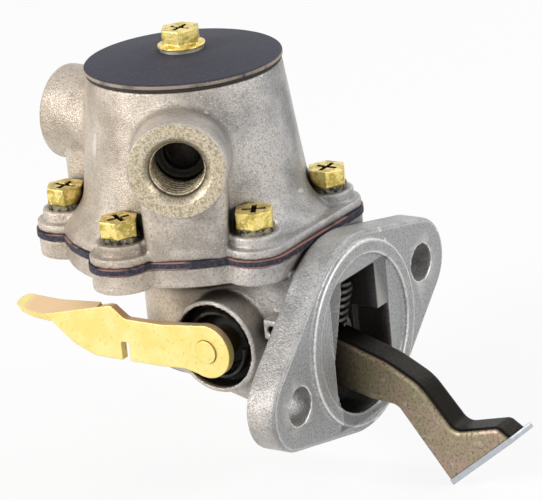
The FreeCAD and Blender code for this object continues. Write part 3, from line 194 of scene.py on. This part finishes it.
class CastFinish(Finish):
    """Sandy skin, painted lighter and warmer on the lit side, painted shade in corners, painted
    highlights.
    """

    def __init__(self, name):
        super().__init__(name)
        cloud = self.noise(SAND_CLOUD, 4)
        self.grain = self.noise(SAND_GRAIN, 3, 0.7)
        self.fine = self.noise(SAND_FINE, 2, 0.6)
        self.edge = self.geometry("Pointiness")
        # Painted light: the skin turns lighter and warmer towards the lit side.
        across = (self.axis("X") + AXIS_REACH) * LIT_SIDE[0] + self.axis("Y") * LIT_SIDE[1]
        lit_warmth = (across + (cloud - 0.5) * WARM_DRIFT).above(WARM_START, WARM_WIDTH)
        light = self.tint(lit_warmth, COOL_LIGHT, WARM_LIGHT)
        dark = self.tint(lit_warmth, COOL_DARK, WARM_DARK)
        skin = self.tint(cloud.below(0.30, 0.30), light, dark)
        skin = self.tint(self.grain.above(0.50, 0.14) * 0.75, skin, dark)
        # Painted glints on the sand grains, and painted highlights along convex edges.
        skin = self.tint(self.fine.above(0.58, 0.10) * 0.45, skin, CAST_GLINT)
        skin = self.tint(self.edge.above(0.53, 0.06) * 0.45, skin, CAST_GLINT)
        # Painted shade along creases and deep in corners.
        skin = self.tint(self.edge.below(0.455, 0.04) * 0.35, skin, CAST_SHADE)
        corner = self.corner_shade(CORNER_REACH).above(0.22, 0.55)
        self.skin = self.tint(corner * 0.95, skin, CAST_SHADE)

    def complete(self, metal, is_metal, is_shaded):
        """The skin with bare metal where is_metal is 1, and black painted shade where the shade
        mask is 1.
        """
        colour = self.tint(is_metal, self.skin, metal)
        self.surface(
            base_color=self.tint(is_shaded, colour, SHADE_BLACK),
            metallic=0.45 + is_metal * 0.2,
            roughness=0.38 + (self.grain - 0.5) * 0.25 + is_metal * 0.06,
        )
        self.relief((self.grain * 0.6 + self.fine * 0.4) * (1 - is_metal * 0.75), SAND_DEPTH)


def add_piece(name, mesh, finish, body):
    """A new piece of the part, finished and riding on a body."""
    piece = bpy.data.objects.new(name, mesh)
    bpy.context.scene.collection.objects.link(piece)
    mesh.materials.clear()
    mesh.materials.append(finish.owner)
    for face in mesh.polygons:
        face.use_smooth = True
    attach(piece, body)
    return piece


def settled(piece):
    """The piece's mesh with its modifiers applied."""
    view = bpy.context.evaluated_depsgraph_get()
    return bpy.data.meshes.new_from_object(piece.evaluated_get(view))


def cast_copy(node, is_machined, finish):
    """A CAD housing with the soft edges and slightly uneven skin of a casting."""
    piece = bpy.data.objects.new(node + "_casting", nodes[node].data.copy())
    bpy.context.scene.collection.objects.link(piece)
    skin = piece.modifiers.new("skin", "REMESH")
    skin.mode = "VOXEL"
    skin.voxel_size = CASTING_VOXEL
    trim = piece.modifiers.new("trim", "SMOOTH")
    trim.iterations = TRIM_ROUNDS
    piece.data = settled(piece)
    piece.modifiers.clear()
    cast = piece.vertex_groups.new(name="cast_skin")
    outward = [point.normal.copy() for point in piece.data.vertices]
    for point, normal in zip(piece.data.vertices, outward):
        if not is_machined(point.co):
            cast.add([point.index], 1.0, "REPLACE")
            point.co += normal * noise.noise(point.co / SKIN_WAVE) * SKIN_WAVE_DEPTH
    rounding = piece.modifiers.new("rounding", "SMOOTH")
    rounding.iterations = ROUNDING_ROUNDS
    rounding.vertex_group = cast.name
    thinning = piece.modifiers.new("thinning", "DECIMATE")
    thinning.ratio = CASTING_FACES_KEPT
    mesh = settled(piece)
    bpy.data.objects.remove(piece)
    casting = add_piece(node + "_casting", mesh, finish, "housing")
    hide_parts(node)


def near_port_face(point):
    along = Vector((point.x + AXIS_REACH, point.y))
    for angle in (OUTLET_ANGLE, INLET_ANGLE):
        heading = Vector((math.cos(angle), math.sin(angle)))
        reach = along.dot(heading)
        radius = math.hypot(along.cross(heading), point.z - PORT_HEIGHT)
        on_face = reach > PORT_FACE - MACHINED_MARGIN
        if on_face or (reach > PORT_FACE / 2 and radius < PORT_MOUTH):
            return True
    return False


def along_port(finish, angle):
    """How far a point lies out along a port, and how far from the port's own axis."""
    x = finish.axis("X") + AXIS_REACH
    y = finish.axis("Y")
    reach = x * math.cos(angle) + y * math.sin(angle)
    side = y * math.cos(angle) - x * math.sin(angle)
    rise = finish.axis("Z") - PORT_HEIGHT
    radius = (side * side + rise * rise).maths("SQRT")
    return reach, radius


upper_cast = CastFinish("upper_casting")
port_metal = 0.0
port_shade = 0.0
for port_angle in (OUTLET_ANGLE, INLET_ANGLE):
    port_reach, port_radius = along_port(upper_cast, port_angle)
    ring_face = port_reach.above(PORT_FACE - PORT_FACE_SKIN, MASK_EDGE)
    inside = port_radius.below(PORT_MOUTH, MASK_EDGE)
    inside = inside * port_reach.above(PORT_FACE / 2, MILLIMETRE)
    # Painted shade: deeper in the port the bore is painted black.
    deep = port_reach.below(PORT_FACE - PORT_SHADE, PORT_SHADE)
    port_metal = port_metal + ring_face + inside
    port_shade = port_shade + inside * deep
port_metal = port_metal.above(0.0, 1.0)
port_shade = port_shade.above(0.0, 1.0) * 0.97
khaki = upper_cast.tint(upper_cast.grain.above(0.46, 0.12) * 0.75, PORT_KHAKI, PORT_FLECK)
# Painted glints on the bare metal of the ring face and the bore.
khaki = upper_cast.tint(upper_cast.fine.above(0.56, 0.08) * 0.6, khaki, CAST_GLINT)
upper_cast.complete(khaki, port_metal, port_shade)
cast_copy("upper_housing", near_port_face, upper_cast)


# The lower housing is cast in the same alloy. Its mounting face with the spigot ring and the face
# of the priming boss are machined. The inside of the mouth and of the boss's cup is painted black,
# as painted shade.
BOSS_REACH = -25.6 * MILLIMETRE
BOSS_HEIGHT = 1.1 * MILLIMETRE
BOSS_FACE = 21.6 * MILLIMETRE
BOSS_RADIUS = 11.0 * MILLIMETRE
CUP_RADIUS = 9.9 * MILLIMETRE
CUP_EDGE = 0.2 * MILLIMETRE
CUP_LIP = 0.3 * MILLIMETRE
CUP_END = 15.0 * MILLIMETRE
FLANGE_MARGIN = 0.9 * MILLIMETRE
FLANGE_SKIN = 0.2 * MILLIMETRE
MOUTH_HALF = 11.9 * MILLIMETRE
MOUTH_CEILING = 14.6 * MILLIMETRE
MOUTH_SHADE_START = -2.5 * MILLIMETRE
MOUTH_SHADE_WIDTH = 7.0 * MILLIMETRE
WELL_END = -48.0 * MILLIMETRE
WELL_FLOOR = -10.9 * MILLIMETRE
FLOOR_FALL = 0.18
FLANGE_GREY = (0.36, 0.365, 0.37, 1)
FLANGE_FLECK = (0.15, 0.15, 0.15, 1)


def near_lower_machining(point):
    from_boss = math.hypot(point.x - BOSS_REACH, point.z - BOSS_HEIGHT)
    on_boss = point.y < -BOSS_FACE + MACHINED_MARGIN and from_boss < BOSS_RADIUS
    return point.x > -FLANGE_MARGIN or on_boss


lower_cast = CastFinish("lower_casting")
lower_x, lower_y, lower_z = [lower_cast.axis(letter) for letter in "XYZ"]
flange_face = lower_x.above(-FLANGE_SKIN, MASK_EDGE)
boss_x = lower_x - BOSS_REACH
boss_z = lower_z - BOSS_HEIGHT
# Painted shade: the inside of the boss's cup is painted black.
in_cup = (boss_x * boss_x + boss_z * boss_z).maths("SQRT").below(CUP_RADIUS, CUP_EDGE)
in_cup = in_cup * lower_y.below(-CUP_END, MILLIMETRE)
in_cup = in_cup * lower_y.above(-BOSS_FACE + CUP_LIP, MILLIMETRE)
# Painted shade: the mouth is painted black, fully so deeper in.
above_floor = lower_z + (lower_x - WELL_END) * FLOOR_FALL
in_mouth = lower_y.maths("ABSOLUTE").below(MOUTH_HALF, MASK_EDGE)
in_mouth = in_mouth * lower_x.below(MOUTH_SHADE_START, MOUTH_SHADE_WIDTH)
in_mouth = in_mouth * lower_x.above(WELL_END, MILLIMETRE)
in_mouth = in_mouth * above_floor.above(WELL_FLOOR, MASK_EDGE)
in_mouth = in_mouth * lower_z.below(MOUTH_CEILING, MASK_EDGE)
lower_shade = (in_cup * 0.97).maths("MAXIMUM", in_mouth * 0.88)
grey = lower_cast.tint(lower_cast.grain.above(0.47, 0.14) * 0.55, FLANGE_GREY, FLANGE_FLECK)
# Painted glints, and painted highlights along the machined edges.
grey = lower_cast.tint(lower_cast.fine.above(0.57, 0.08) * 0.45, grey, CAST_GLINT)
grey = lower_cast.tint(lower_cast.edge.above(0.51, 0.03) * 0.8, grey, CAST_GLINT)
lower_cast.complete(grey, flange_face, lower_shade)
cast_copy("lower_housing", near_lower_machining, lower_cast)


# Each port is tapped M14 x 1.5. Its thread is a ridge wound along the bore, with a crest that the
# tap has left narrow, and it starts just inside the countersink.
THREAD_PITCH = 1.5 * MILLIMETRE
THREAD_ROOT = 6.3 * MILLIMETRE
THREAD_CREST = 5.75 * MILLIMETRE
THREAD_START = 33.0 * MILLIMETRE
THREAD_TURNS = 7
THREAD_STEPS = 40
ROOT_HALF = 0.42 * THREAD_PITCH
CREST_HALF = 0.09 * THREAD_PITCH

thread_metal = Finish("tapped_thread")
thread_grain = thread_metal.noise(SAND_GRAIN, 3, 0.7)
thread_metal.surface(
    base_color=thread_metal.tint(thread_grain.above(0.45, 0.15), PORT_KHAKI, PORT_FLECK),
    metallic=0.7,
    roughness=0.35 + thread_grain * 0.2,
)
for port_name, port_angle in (("outlet", OUTLET_ANGLE), ("inlet", INLET_ANGLE)):
    outward = Vector((math.cos(port_angle), math.sin(port_angle), 0))
    sideways = Vector((-math.sin(port_angle), math.cos(port_angle), 0))
    port_centre = Vector((-AXIS_REACH, 0, PORT_HEIGHT))
    ridge = bmesh.new()
    rows = []
    for step in range(THREAD_TURNS * THREAD_STEPS + 1):
        turn = step / THREAD_STEPS
        run_out = min(1.0, turn * 2, (THREAD_TURNS - turn) * 2)
        crest = THREAD_ROOT + (THREAD_CREST - THREAD_ROOT) * max(run_out, 0.1)
        spoke = sideways * math.cos(turn * math.tau) + Vector((0, 0, math.sin(turn * math.tau)))
        middle = THREAD_START - turn * THREAD_PITCH
        profile = (
            (middle + ROOT_HALF, THREAD_ROOT),
            (middle + CREST_HALF, crest),
            (middle - CREST_HALF, crest),
            (middle - ROOT_HALF, THREAD_ROOT),
        )
        rows.append([
            ridge.verts.new(port_centre + outward * reach + spoke * radius)
            for reach, radius in profile
        ])
    for first, second in zip(rows, rows[1:]):
        for corner in range(4):
            after = (corner + 1) % 4
            ridge.faces.new((first[corner], first[after], second[after], second[corner]))
    ridge.faces.new(rows[0])
    ridge.faces.new(rows[-1])
    bmesh.ops.recalc_face_normals(ridge, faces=ridge.faces)
    ridge_mesh = bpy.data.meshes.new(port_name + "_thread")
    ridge.to_mesh(ridge_mesh)
    ridge.free()
    add_piece(port_name + "_thread", ridge_mesh, thread_metal, "housing")


# The cover is a domed steel pressing in dark blue, slightly rough paint. The paint is worn off
# along its rim, where the primer and the bare steel show.
COVER_RIM = 22.42 * MILLIMETRE
COVER_RIM_EDGE = 0.06 * MILLIMETRE
PAINT = (0.017, 0.017, 0.032, 1)
PAINT_SPECK = (0.055, 0.055, 0.082, 1)
PAINT_WORN = (0.36, 0.29, 0.22, 1)


def dress(finish, *names):
    """Gives CAD nodes that keep their shape a finish."""
    for name in names:
        piece = nodes[name]
        piece.data.materials.clear()
        piece.data.materials.append(finish.owner)


cover_paint = Finish("cover_paint")
speck = cover_paint.noise(1500, 2, 0.7)
patch = cover_paint.noise(170, 3)
rim_x = cover_paint.axis("X") + AXIS_REACH
rim_y = cover_paint.axis("Y")
from_axis = (rim_x * rim_x + rim_y * rim_y).maths("SQRT")
worn = from_axis.above(COVER_RIM, COVER_RIM_EDGE) * patch.above(0.30, 0.2)
paint = cover_paint.tint(speck.above(0.48, 0.2) * 0.7, PAINT, PAINT_SPECK)
cover_paint.surface(
    base_color=cover_paint.tint(worn * 0.85, paint, PAINT_WORN),
    roughness=0.72 + (speck - 0.5) * 0.2,
    metallic=0.0,
)
cover_paint.relief(speck, 0.12 * MILLIMETRE, 0.3 * MILLIMETRE)
dress(cover_paint, "top_cover")


# The cover's gasket is a ring punched from black fibre sheet. It is nipped between the cover and
# the rim of the upper housing, so only its cut edge shows.
FIBRE_DARK = (0.012, 0.011, 0.011, 1)
FIBRE_LIGHT = (0.045, 0.038, 0.034, 1)

fibre = Finish("gasket_fibre")
fleck = fibre.noise(900, 3)
fibre.surface(base_color=fibre.tint(fleck, FIBRE_DARK, FIBRE_LIGHT), roughness=0.85)
fibre.relief(fleck, 0.1 * MILLIMETRE)
dress(fibre, "cover_gasket")


# The washer under the cap screw is turned from soft aluminium, so that it seals against the cover
# when the screw is tightened.
ALUMINIUM_DULL = (0.42, 0.38, 0.30, 1)
ALUMINIUM_BRIGHT = (0.62, 0.58, 0.50, 1)

soft_aluminium = Finish("soft_aluminium")
ring_marks = soft_aluminium.noise(500, 2)
soft_aluminium.surface(
    base_color=soft_aluminium.tint(ring_marks, ALUMINIUM_DULL, ALUMINIUM_BRIGHT),
    metallic=0.9,
    roughness=0.35 + ring_marks * 0.2,
)
dress(soft_aluminium, "cap_screw_seal")


# The cap screw and the six joint screws are cold headed steel, zinc plated and passivated yellow.
# The film is thin, so its colour drifts from straw to rose, and the cross recesses are painted
# dark, as painted shade.
ZINC_STRAW = (0.93, 0.74, 0.24, 1)
ZINC_PALE = (0.96, 0.86, 0.46, 1)
ZINC_OLIVE = (0.50, 0.38, 0.08, 1)
ZINC_ROSE = (0.86, 0.56, 0.36, 1)
RECESS_SHADE = (0.050, 0.028, 0.010, 1)
RECESS_REACH = 2.2 * MILLIMETRE

screw_zinc = Finish("screw_zinc")
drift = screw_zinc.noise(420, 3)
mottling = screw_zinc.noise(1500, 2)
screw_colour = screw_zinc.tint(drift.above(0.42, 0.16), ZINC_OLIVE, ZINC_STRAW)
screw_colour = screw_zinc.tint(mottling.above(0.56, 0.08) * 0.7, screw_colour, ZINC_PALE)
screw_colour = screw_zinc.tint(drift.above(0.60, 0.1) * 0.4, screw_colour, ZINC_ROSE)
# Painted shade in the cross recesses.
recess = screw_zinc.corner_shade(RECESS_REACH).above(0.25, 0.35)
screw_zinc.surface(
    base_color=screw_zinc.tint(recess, screw_colour, RECESS_SHADE),
    metallic=0.8,
    roughness=0.24 + mottling * 0.22,
)
screw_zinc.relief(mottling, 0.06 * MILLIMETRE, 0.45 * MILLIMETRE)
dress(screw_zinc, "cap_screw", "joint_screws")


# The priming lever is cut and folded from steel plate and peened on its shaft, and both are zinc
# plated. The faces that look up are painted rosier, as a painted reflection. The shaft inside the
# cup and the lever's corners are painted dark, as painted shade.
LEVER_YELLOW = (0.89, 0.71, 0.22, 1)
LEVER_PALE = (0.94, 0.80, 0.34, 1)
THUMB_TIP = -80.5 * MILLIMETRE
THUMB_FADE = 2.5 * MILLIMETRE
LEVER_BACK = -21.2 * MILLIMETRE
LEVER_BACK_EDGE = 0.3 * MILLIMETRE
LEVER_CORNER = 1.6 * MILLIMETRE

lever_zinc = Finish("lever_zinc")
lever_drift = lever_zinc.noise(160, 3)
lever_fine = lever_zinc.noise(1300, 2)
lever_x = lever_zinc.axis("X")
looks_up = lever_zinc.axis("Z", lever_zinc.geometry("Normal")).above(0.35, 0.2)
lever_colour = lever_zinc.tint(lever_drift.above(0.40, 0.25), LEVER_YELLOW, LEVER_PALE)
lever_colour = lever_zinc.tint(lever_fine.above(0.60, 0.08) * 0.35, lever_colour, ZINC_OLIVE)
# Painted reflection: faces that look up are painted rosier, except at the thumb's tip.
rose = looks_up * lever_x.above(THUMB_TIP, THUMB_FADE)
lever_colour = lever_zinc.tint(rose * 0.75, lever_colour, ZINC_ROSE)
# Painted shade on the shaft inside the cup and in the lever's corners.
behind_lever = lever_zinc.axis("Y").above(LEVER_BACK, LEVER_BACK_EDGE)
behind_lever = behind_lever * lever_x.above(BOSS_REACH - CUP_RADIUS, MILLIMETRE)
lever_shade = lever_zinc.corner_shade(LEVER_CORNER).above(0.30, 0.35)
lever_shade = lever_shade.maths("MAXIMUM", behind_lever * 0.92)
lever_zinc.surface(
    base_color=lever_zinc.tint(lever_shade, lever_colour, RECESS_SHADE),
    metallic=0.55,
    roughness=0.34 + lever_fine * 0.15,
)
lever_zinc.relief(lever_fine, 0.05 * MILLIMETRE, 0.4 * MILLIMETRE)
dress(lever_zinc, "primer_lever", "primer_shaft")


# The springs are wound from dark spring steel wire. They sit loose between their seats, and a film
# of oil keeps those inside the housings black.
STEEL_DARK = (0.030, 0.028, 0.024, 1)
STEEL_MID = (0.075, 0.07, 0.062, 1)

spring_steel = Finish("spring_steel")
oil = spring_steel.noise(400, 3)
spring_steel.surface(
    base_color=spring_steel.tint(oil.above(0.40, 0.3), STEEL_DARK, STEEL_MID),
    metallic=0.8,
    roughness=0.3 + oil * 0.2,
)
dress(
    spring_steel,
    "diaphragm_spring",
    "rocker_return_spring",
    "primer_return_spring",
    "inlet_valve_spring",
    "outlet_valve_spring",
)


# The spring washers under the joint screws are coiled from square steel wire. They are dark, and
# rubbed brighter in patches where the screw heads have turned on them.
WASHER_MID = (0.30, 0.27, 0.20, 1)

washer_steel = Finish("washer_steel")
rub = washer_steel.noise(900, 3)
washer_steel.surface(
    base_color=washer_steel.tint(rub.above(0.40, 0.2), STEEL_DARK, WASHER_MID),
    metallic=0.8,
    roughness=0.32 + rub * 0.2,
)
dress(washer_steel, "spring_washers")


# The diaphragm is rubberised cloth, clamped between the housings. Only its cut edge shows, with
# the pink jointing compound that squeezed out above and below it.
DIAPHRAGM_MIDDLE = 22.4 * MILLIMETRE
SQUEEZE_START = 0.52 * MILLIMETRE
SQUEEZE_EDGE = 0.15 * MILLIMETRE
CLOTH_DARK = (0.010, 0.010, 0.020, 1)
CLOTH_LIGHT = (0.050, 0.048, 0.075, 1)
JOINTING_PINK = (0.45, 0.22, 0.18, 1)

cloth = Finish("diaphragm_cloth")
weave = cloth.noise(1300, 2)
smear = cloth.noise(150, 3)
from_middle = (cloth.axis("Z") - DIAPHRAGM_MIDDLE).maths("ABSOLUTE")
squeezed = from_middle.above(SQUEEZE_START, SQUEEZE_EDGE) * smear.above(0.44, 0.10)
edge_colour = cloth.tint(weave.above(0.45, 0.2), CLOTH_DARK, CLOTH_LIGHT)
cloth.surface(
    base_color=cloth.tint(squeezed * 0.8, edge_colour, JOINTING_PINK),
    roughness=0.65 + weave * 0.1,
)
cloth.relief(weave, 0.15 * MILLIMETRE, 0.3 * MILLIMETRE)
dress(cloth, "diaphragm")


# Two dished steel plates nip the diaphragm on the pull rod under a nut. They, the seal's retainer
# and the rocker's pin with its spacers are plain plated steel.
PLATE_DULL = (0.30, 0.30, 0.30, 1)
PLATE_BRIGHT = (0.52, 0.52, 0.51, 1)

plated = Finish("plated_steel")
plate_cloud = plated.noise(220, 3)
plated.surface(
    base_color=plated.tint(plate_cloud, PLATE_DULL, PLATE_BRIGHT),
    metallic=0.9,
    roughness=0.25 + plate_cloud * 0.2,
)
dress(
    plated,
    "diaphragm_upper_plate",
    "diaphragm_lower_plate",
    "rod_nut",
    "pull_rod",
    "seal_retainer",
    "pivot_pin",
    "near_pin_spacer",
    "far_pin_spacer",
)


# The rocker and its link are pressed from thick sheet and heat treated, which leaves them a mottled
# olive brown. Faces that do not look sideways, along the web, are painted near black as painted
# shade, and inside the housing both are painted darker still, as painted shade.
ROCKER_OLIVE = (0.30, 0.255, 0.155, 1)
ROCKER_ROSE = (0.37, 0.265, 0.20, 1)
ROCKER_PALE = (0.50, 0.46, 0.36, 1)
ROCKER_BLACK = (0.008, 0.006, 0.004, 1)
# Where the rocker is painted darker inside the housing, as painted shade.
SHADE_INSIDE_START = -6.0 * MILLIMETRE
SHADE_INSIDE_WIDTH = 7.0 * MILLIMETRE

rocker_steel = Finish("rocker_steel")
mottle = rocker_steel.noise(1500, 3, 0.65)
scale_film = rocker_steel.noise(700, 3, 0.6)
blotch = rocker_steel.noise(110, 3)
flank = rocker_steel.tint(blotch.above(0.42, 0.2), ROCKER_OLIVE, ROCKER_ROSE)
flank = rocker_steel.tint(mottle.above(0.52, 0.12) * 0.55, flank, ROCKER_BLACK)
flank = rocker_steel.tint(scale_film.above(0.58, 0.08) * 0.45, flank, ROCKER_PALE)
# Painted shade: faces that do not look sideways, along the web, are painted near black.
looks_sideways = rocker_steel.axis("Y", rocker_steel.geometry("Normal")).maths("ABSOLUTE")
is_flank = looks_sideways.above(0.55, 0.30)
arm_colour = rocker_steel.tint(is_flank, ROCKER_BLACK, flank)
# Painted shade: the rocker is painted darker inside the housing.
shaded_inside = rocker_steel.axis("X").below(SHADE_INSIDE_START, SHADE_INSIDE_WIDTH)
rocker_steel.surface(
    base_color=rocker_steel.tint(shaded_inside * 0.85, arm_colour, SHADE_BLACK),
    metallic=0.95 - is_flank * 0.35,
    roughness=0.34 + mottle * 0.22,
)
rocker_steel.relief(mottle, 0.10 * MILLIMETRE, 0.5 * MILLIMETRE)
dress(rocker_steel, "rocker_arm", "link_lever")


# The pad at the rocker's end is hardened steel, welded on and ground bright where the camshaft
# rubs it.
PAD_BRIGHT = (0.55, 0.60, 0.68, 1)
PAD_DULL = (0.30, 0.29, 0.25, 1)

ground_pad = Finish("ground_pad")
grind = ground_pad.noise(500, 2)
ground_pad.surface(
    base_color=ground_pad.tint(grind * 0.7, PAD_BRIGHT, PAD_DULL),
    metallic=0.8,
    roughness=0.3 + grind * 0.15,
)
ground_pad.relief(grind, 0.03 * MILLIMETRE, 0.3 * MILLIMETRE)
dress(ground_pad, "contact_pad")


# The two valves are brass cups with a pierced cage, staked into the deck, and the strainer round
# the cover's post is brass gauze.
BRASS_BRIGHT = (0.66, 0.48, 0.20, 1)
BRASS_DARK = (0.38, 0.26, 0.10, 1)

brass = Finish("valve_brass")
tarnish = brass.noise(350, 3)
brass.surface(
    base_color=brass.tint(tarnish, BRASS_BRIGHT, BRASS_DARK),
    metallic=0.95,
    roughness=0.25 + tarnish * 0.25,
)
dress(
    brass,
    "inlet_valve_seat",
    "outlet_valve_seat",
    "inlet_valve_cage",
    "outlet_valve_cage",
    "strainer",
)


# The valve discs are cut from black rubber sheet. Moulded rubber rings seal the pull rod and the
# primer shaft.
RUBBER_DARK = (0.010, 0.010, 0.010, 1)
RUBBER_LIGHT = (0.028, 0.027, 0.026, 1)

rubber = Finish("black_rubber")
bloom = rubber.noise(600, 2)
rubber.surface(
    base_color=rubber.tint(bloom, RUBBER_DARK, RUBBER_LIGHT),
    roughness=0.6 + bloom * 0.2,
)
dress(rubber, "rod_seal", "primer_shaft_seal", "inlet_valve_disc", "outlet_valve_disc")


# The studio: a pale floor just under the lowest point, a white surround, and soft lamps. The key
# lamp stands on the priming lever's side, so the mounting face is in half shade.
FLOOR_LEVEL = cad_box[0][2] - 0.5 * MILLIMETRE
FLOOR_HALF = 6.0
FLOOR_PAINT = (0.96, 0.96, 0.96, 1)
FLOOR_GLOW = 0.86
SURROUND_COLOUR = (1, 1, 1, 1)
SURROUND_LIGHT = 0.38
LAMP_AIM = (-0.03, 0, 0.01)


def shows_background(finish):
    """1 for rays that see the background: from the camera, from gloss and through glass."""
    rays = [
        finish.add("ShaderNodeLightPath", output=ray + " Ray")
        for ray in ("Is Camera", "Is Glossy", "Is Transmission")
    ]
    return rays[0].maths("MAXIMUM", rays[1]).maths("MAXIMUM", rays[2])


floor_mesh = bpy.data.meshes.new("studio_floor")
floor_mesh.from_pydata(
    [
        (-FLOOR_HALF, -FLOOR_HALF, FLOOR_LEVEL),
        (FLOOR_HALF, -FLOOR_HALF, FLOOR_LEVEL),
        (FLOOR_HALF, FLOOR_HALF, FLOOR_LEVEL),
        (-FLOOR_HALF, FLOOR_HALF, FLOOR_LEVEL),
    ],
    [],
    [(0, 1, 2, 3)],
)
floor = bpy.data.objects.new("studio_floor", floor_mesh)
bpy.context.scene.collection.objects.link(floor)
floor_paint = Finish("floor_paint")
floor_paint.surface(base_color=FLOOR_PAINT, roughness=0.9)
painted = Field(floor_paint, floor_paint.shader.outputs[0])
glow = floor_paint.add("ShaderNodeEmission", {}, {"Strength": 1.0})
own_light = shows_background(floor_paint) * FLOOR_GLOW
lit = floor_paint.add("ShaderNodeMixShader", {}, {0: own_light, 1: painted, 2: glow})
floor_paint.feed(floor_paint.nodes["Material Output"].inputs["Surface"], lit)
floor.data.materials.append(floor_paint.owner)

surround = Finish("studio", bpy.data.worlds.new("studio"))
bpy.context.scene.world = surround.owner
backdrop = surround.nodes["Background"]
surround.feed(backdrop.inputs["Color"], SURROUND_COLOUR)
surround_light = shows_background(surround).maths("MAXIMUM", SURROUND_LIGHT)
surround.feed(backdrop.inputs["Strength"], surround_light)


def lamp(name, place, size, power):
    """A round soft lamp, aimed at the part."""
    light = bpy.data.lights.new(name, "AREA")
    light.shape = "DISK"
    light.size = size
    light.energy = power
    stand = bpy.data.objects.new(name, light)
    bpy.context.scene.collection.objects.link(stand)
    stand.location = place
    aim = Vector(LAMP_AIM) - Vector(place)
    stand.rotation_euler = aim.to_track_quat("-Z", "Y").to_euler()


lamp("key_lamp", (-0.50, -0.90, 0.45), 0.40, 9.0)
lamp("stripe_lamp", (0.95, 0.15, 0.40), 0.16, 3.5)
lamp("back_lamp", (0.1, 0.8, 0.7), 0.5, 2.5)


# The camera stands where a fit of the flange, the ports, the cover and the screws puts it. It is
# turned about the upright axis, then tilted down and rolled a little.
AZIMUTH = math.radians(35.0748)
ELEVATION = math.radians(19.5832)
ROLL = math.radians(-5.5214)
CAMERA_PLACE = (0.34703, -0.52664, 0.24591)
FOCAL_LENGTH = 200.36
SENSOR_WIDTH = 36
NEAREST = 0.01

camera_data = bpy.data.cameras.new("photo_camera")
camera_data.sensor_width = SENSOR_WIDTH
camera_data.sensor_fit = "HORIZONTAL"
camera_data.lens = FOCAL_LENGTH
camera_data.clip_start = NEAREST
camera = bpy.data.objects.new("photo_camera", camera_data)
bpy.context.scene.collection.objects.link(camera)
camera_turn = (
    Matrix.Rotation(AZIMUTH, 4, "Z")
    @ Matrix.Rotation(math.pi / 2 - ELEVATION, 4, "X")
    @ Matrix.Rotation(ROLL, 4, "Z")
)
camera.matrix_world = Matrix.Translation(CAMERA_PLACE) @ camera_turn
bpy.context.scene.camera = camera
bpy.context.scene.view_settings.view_transform = "Standard"
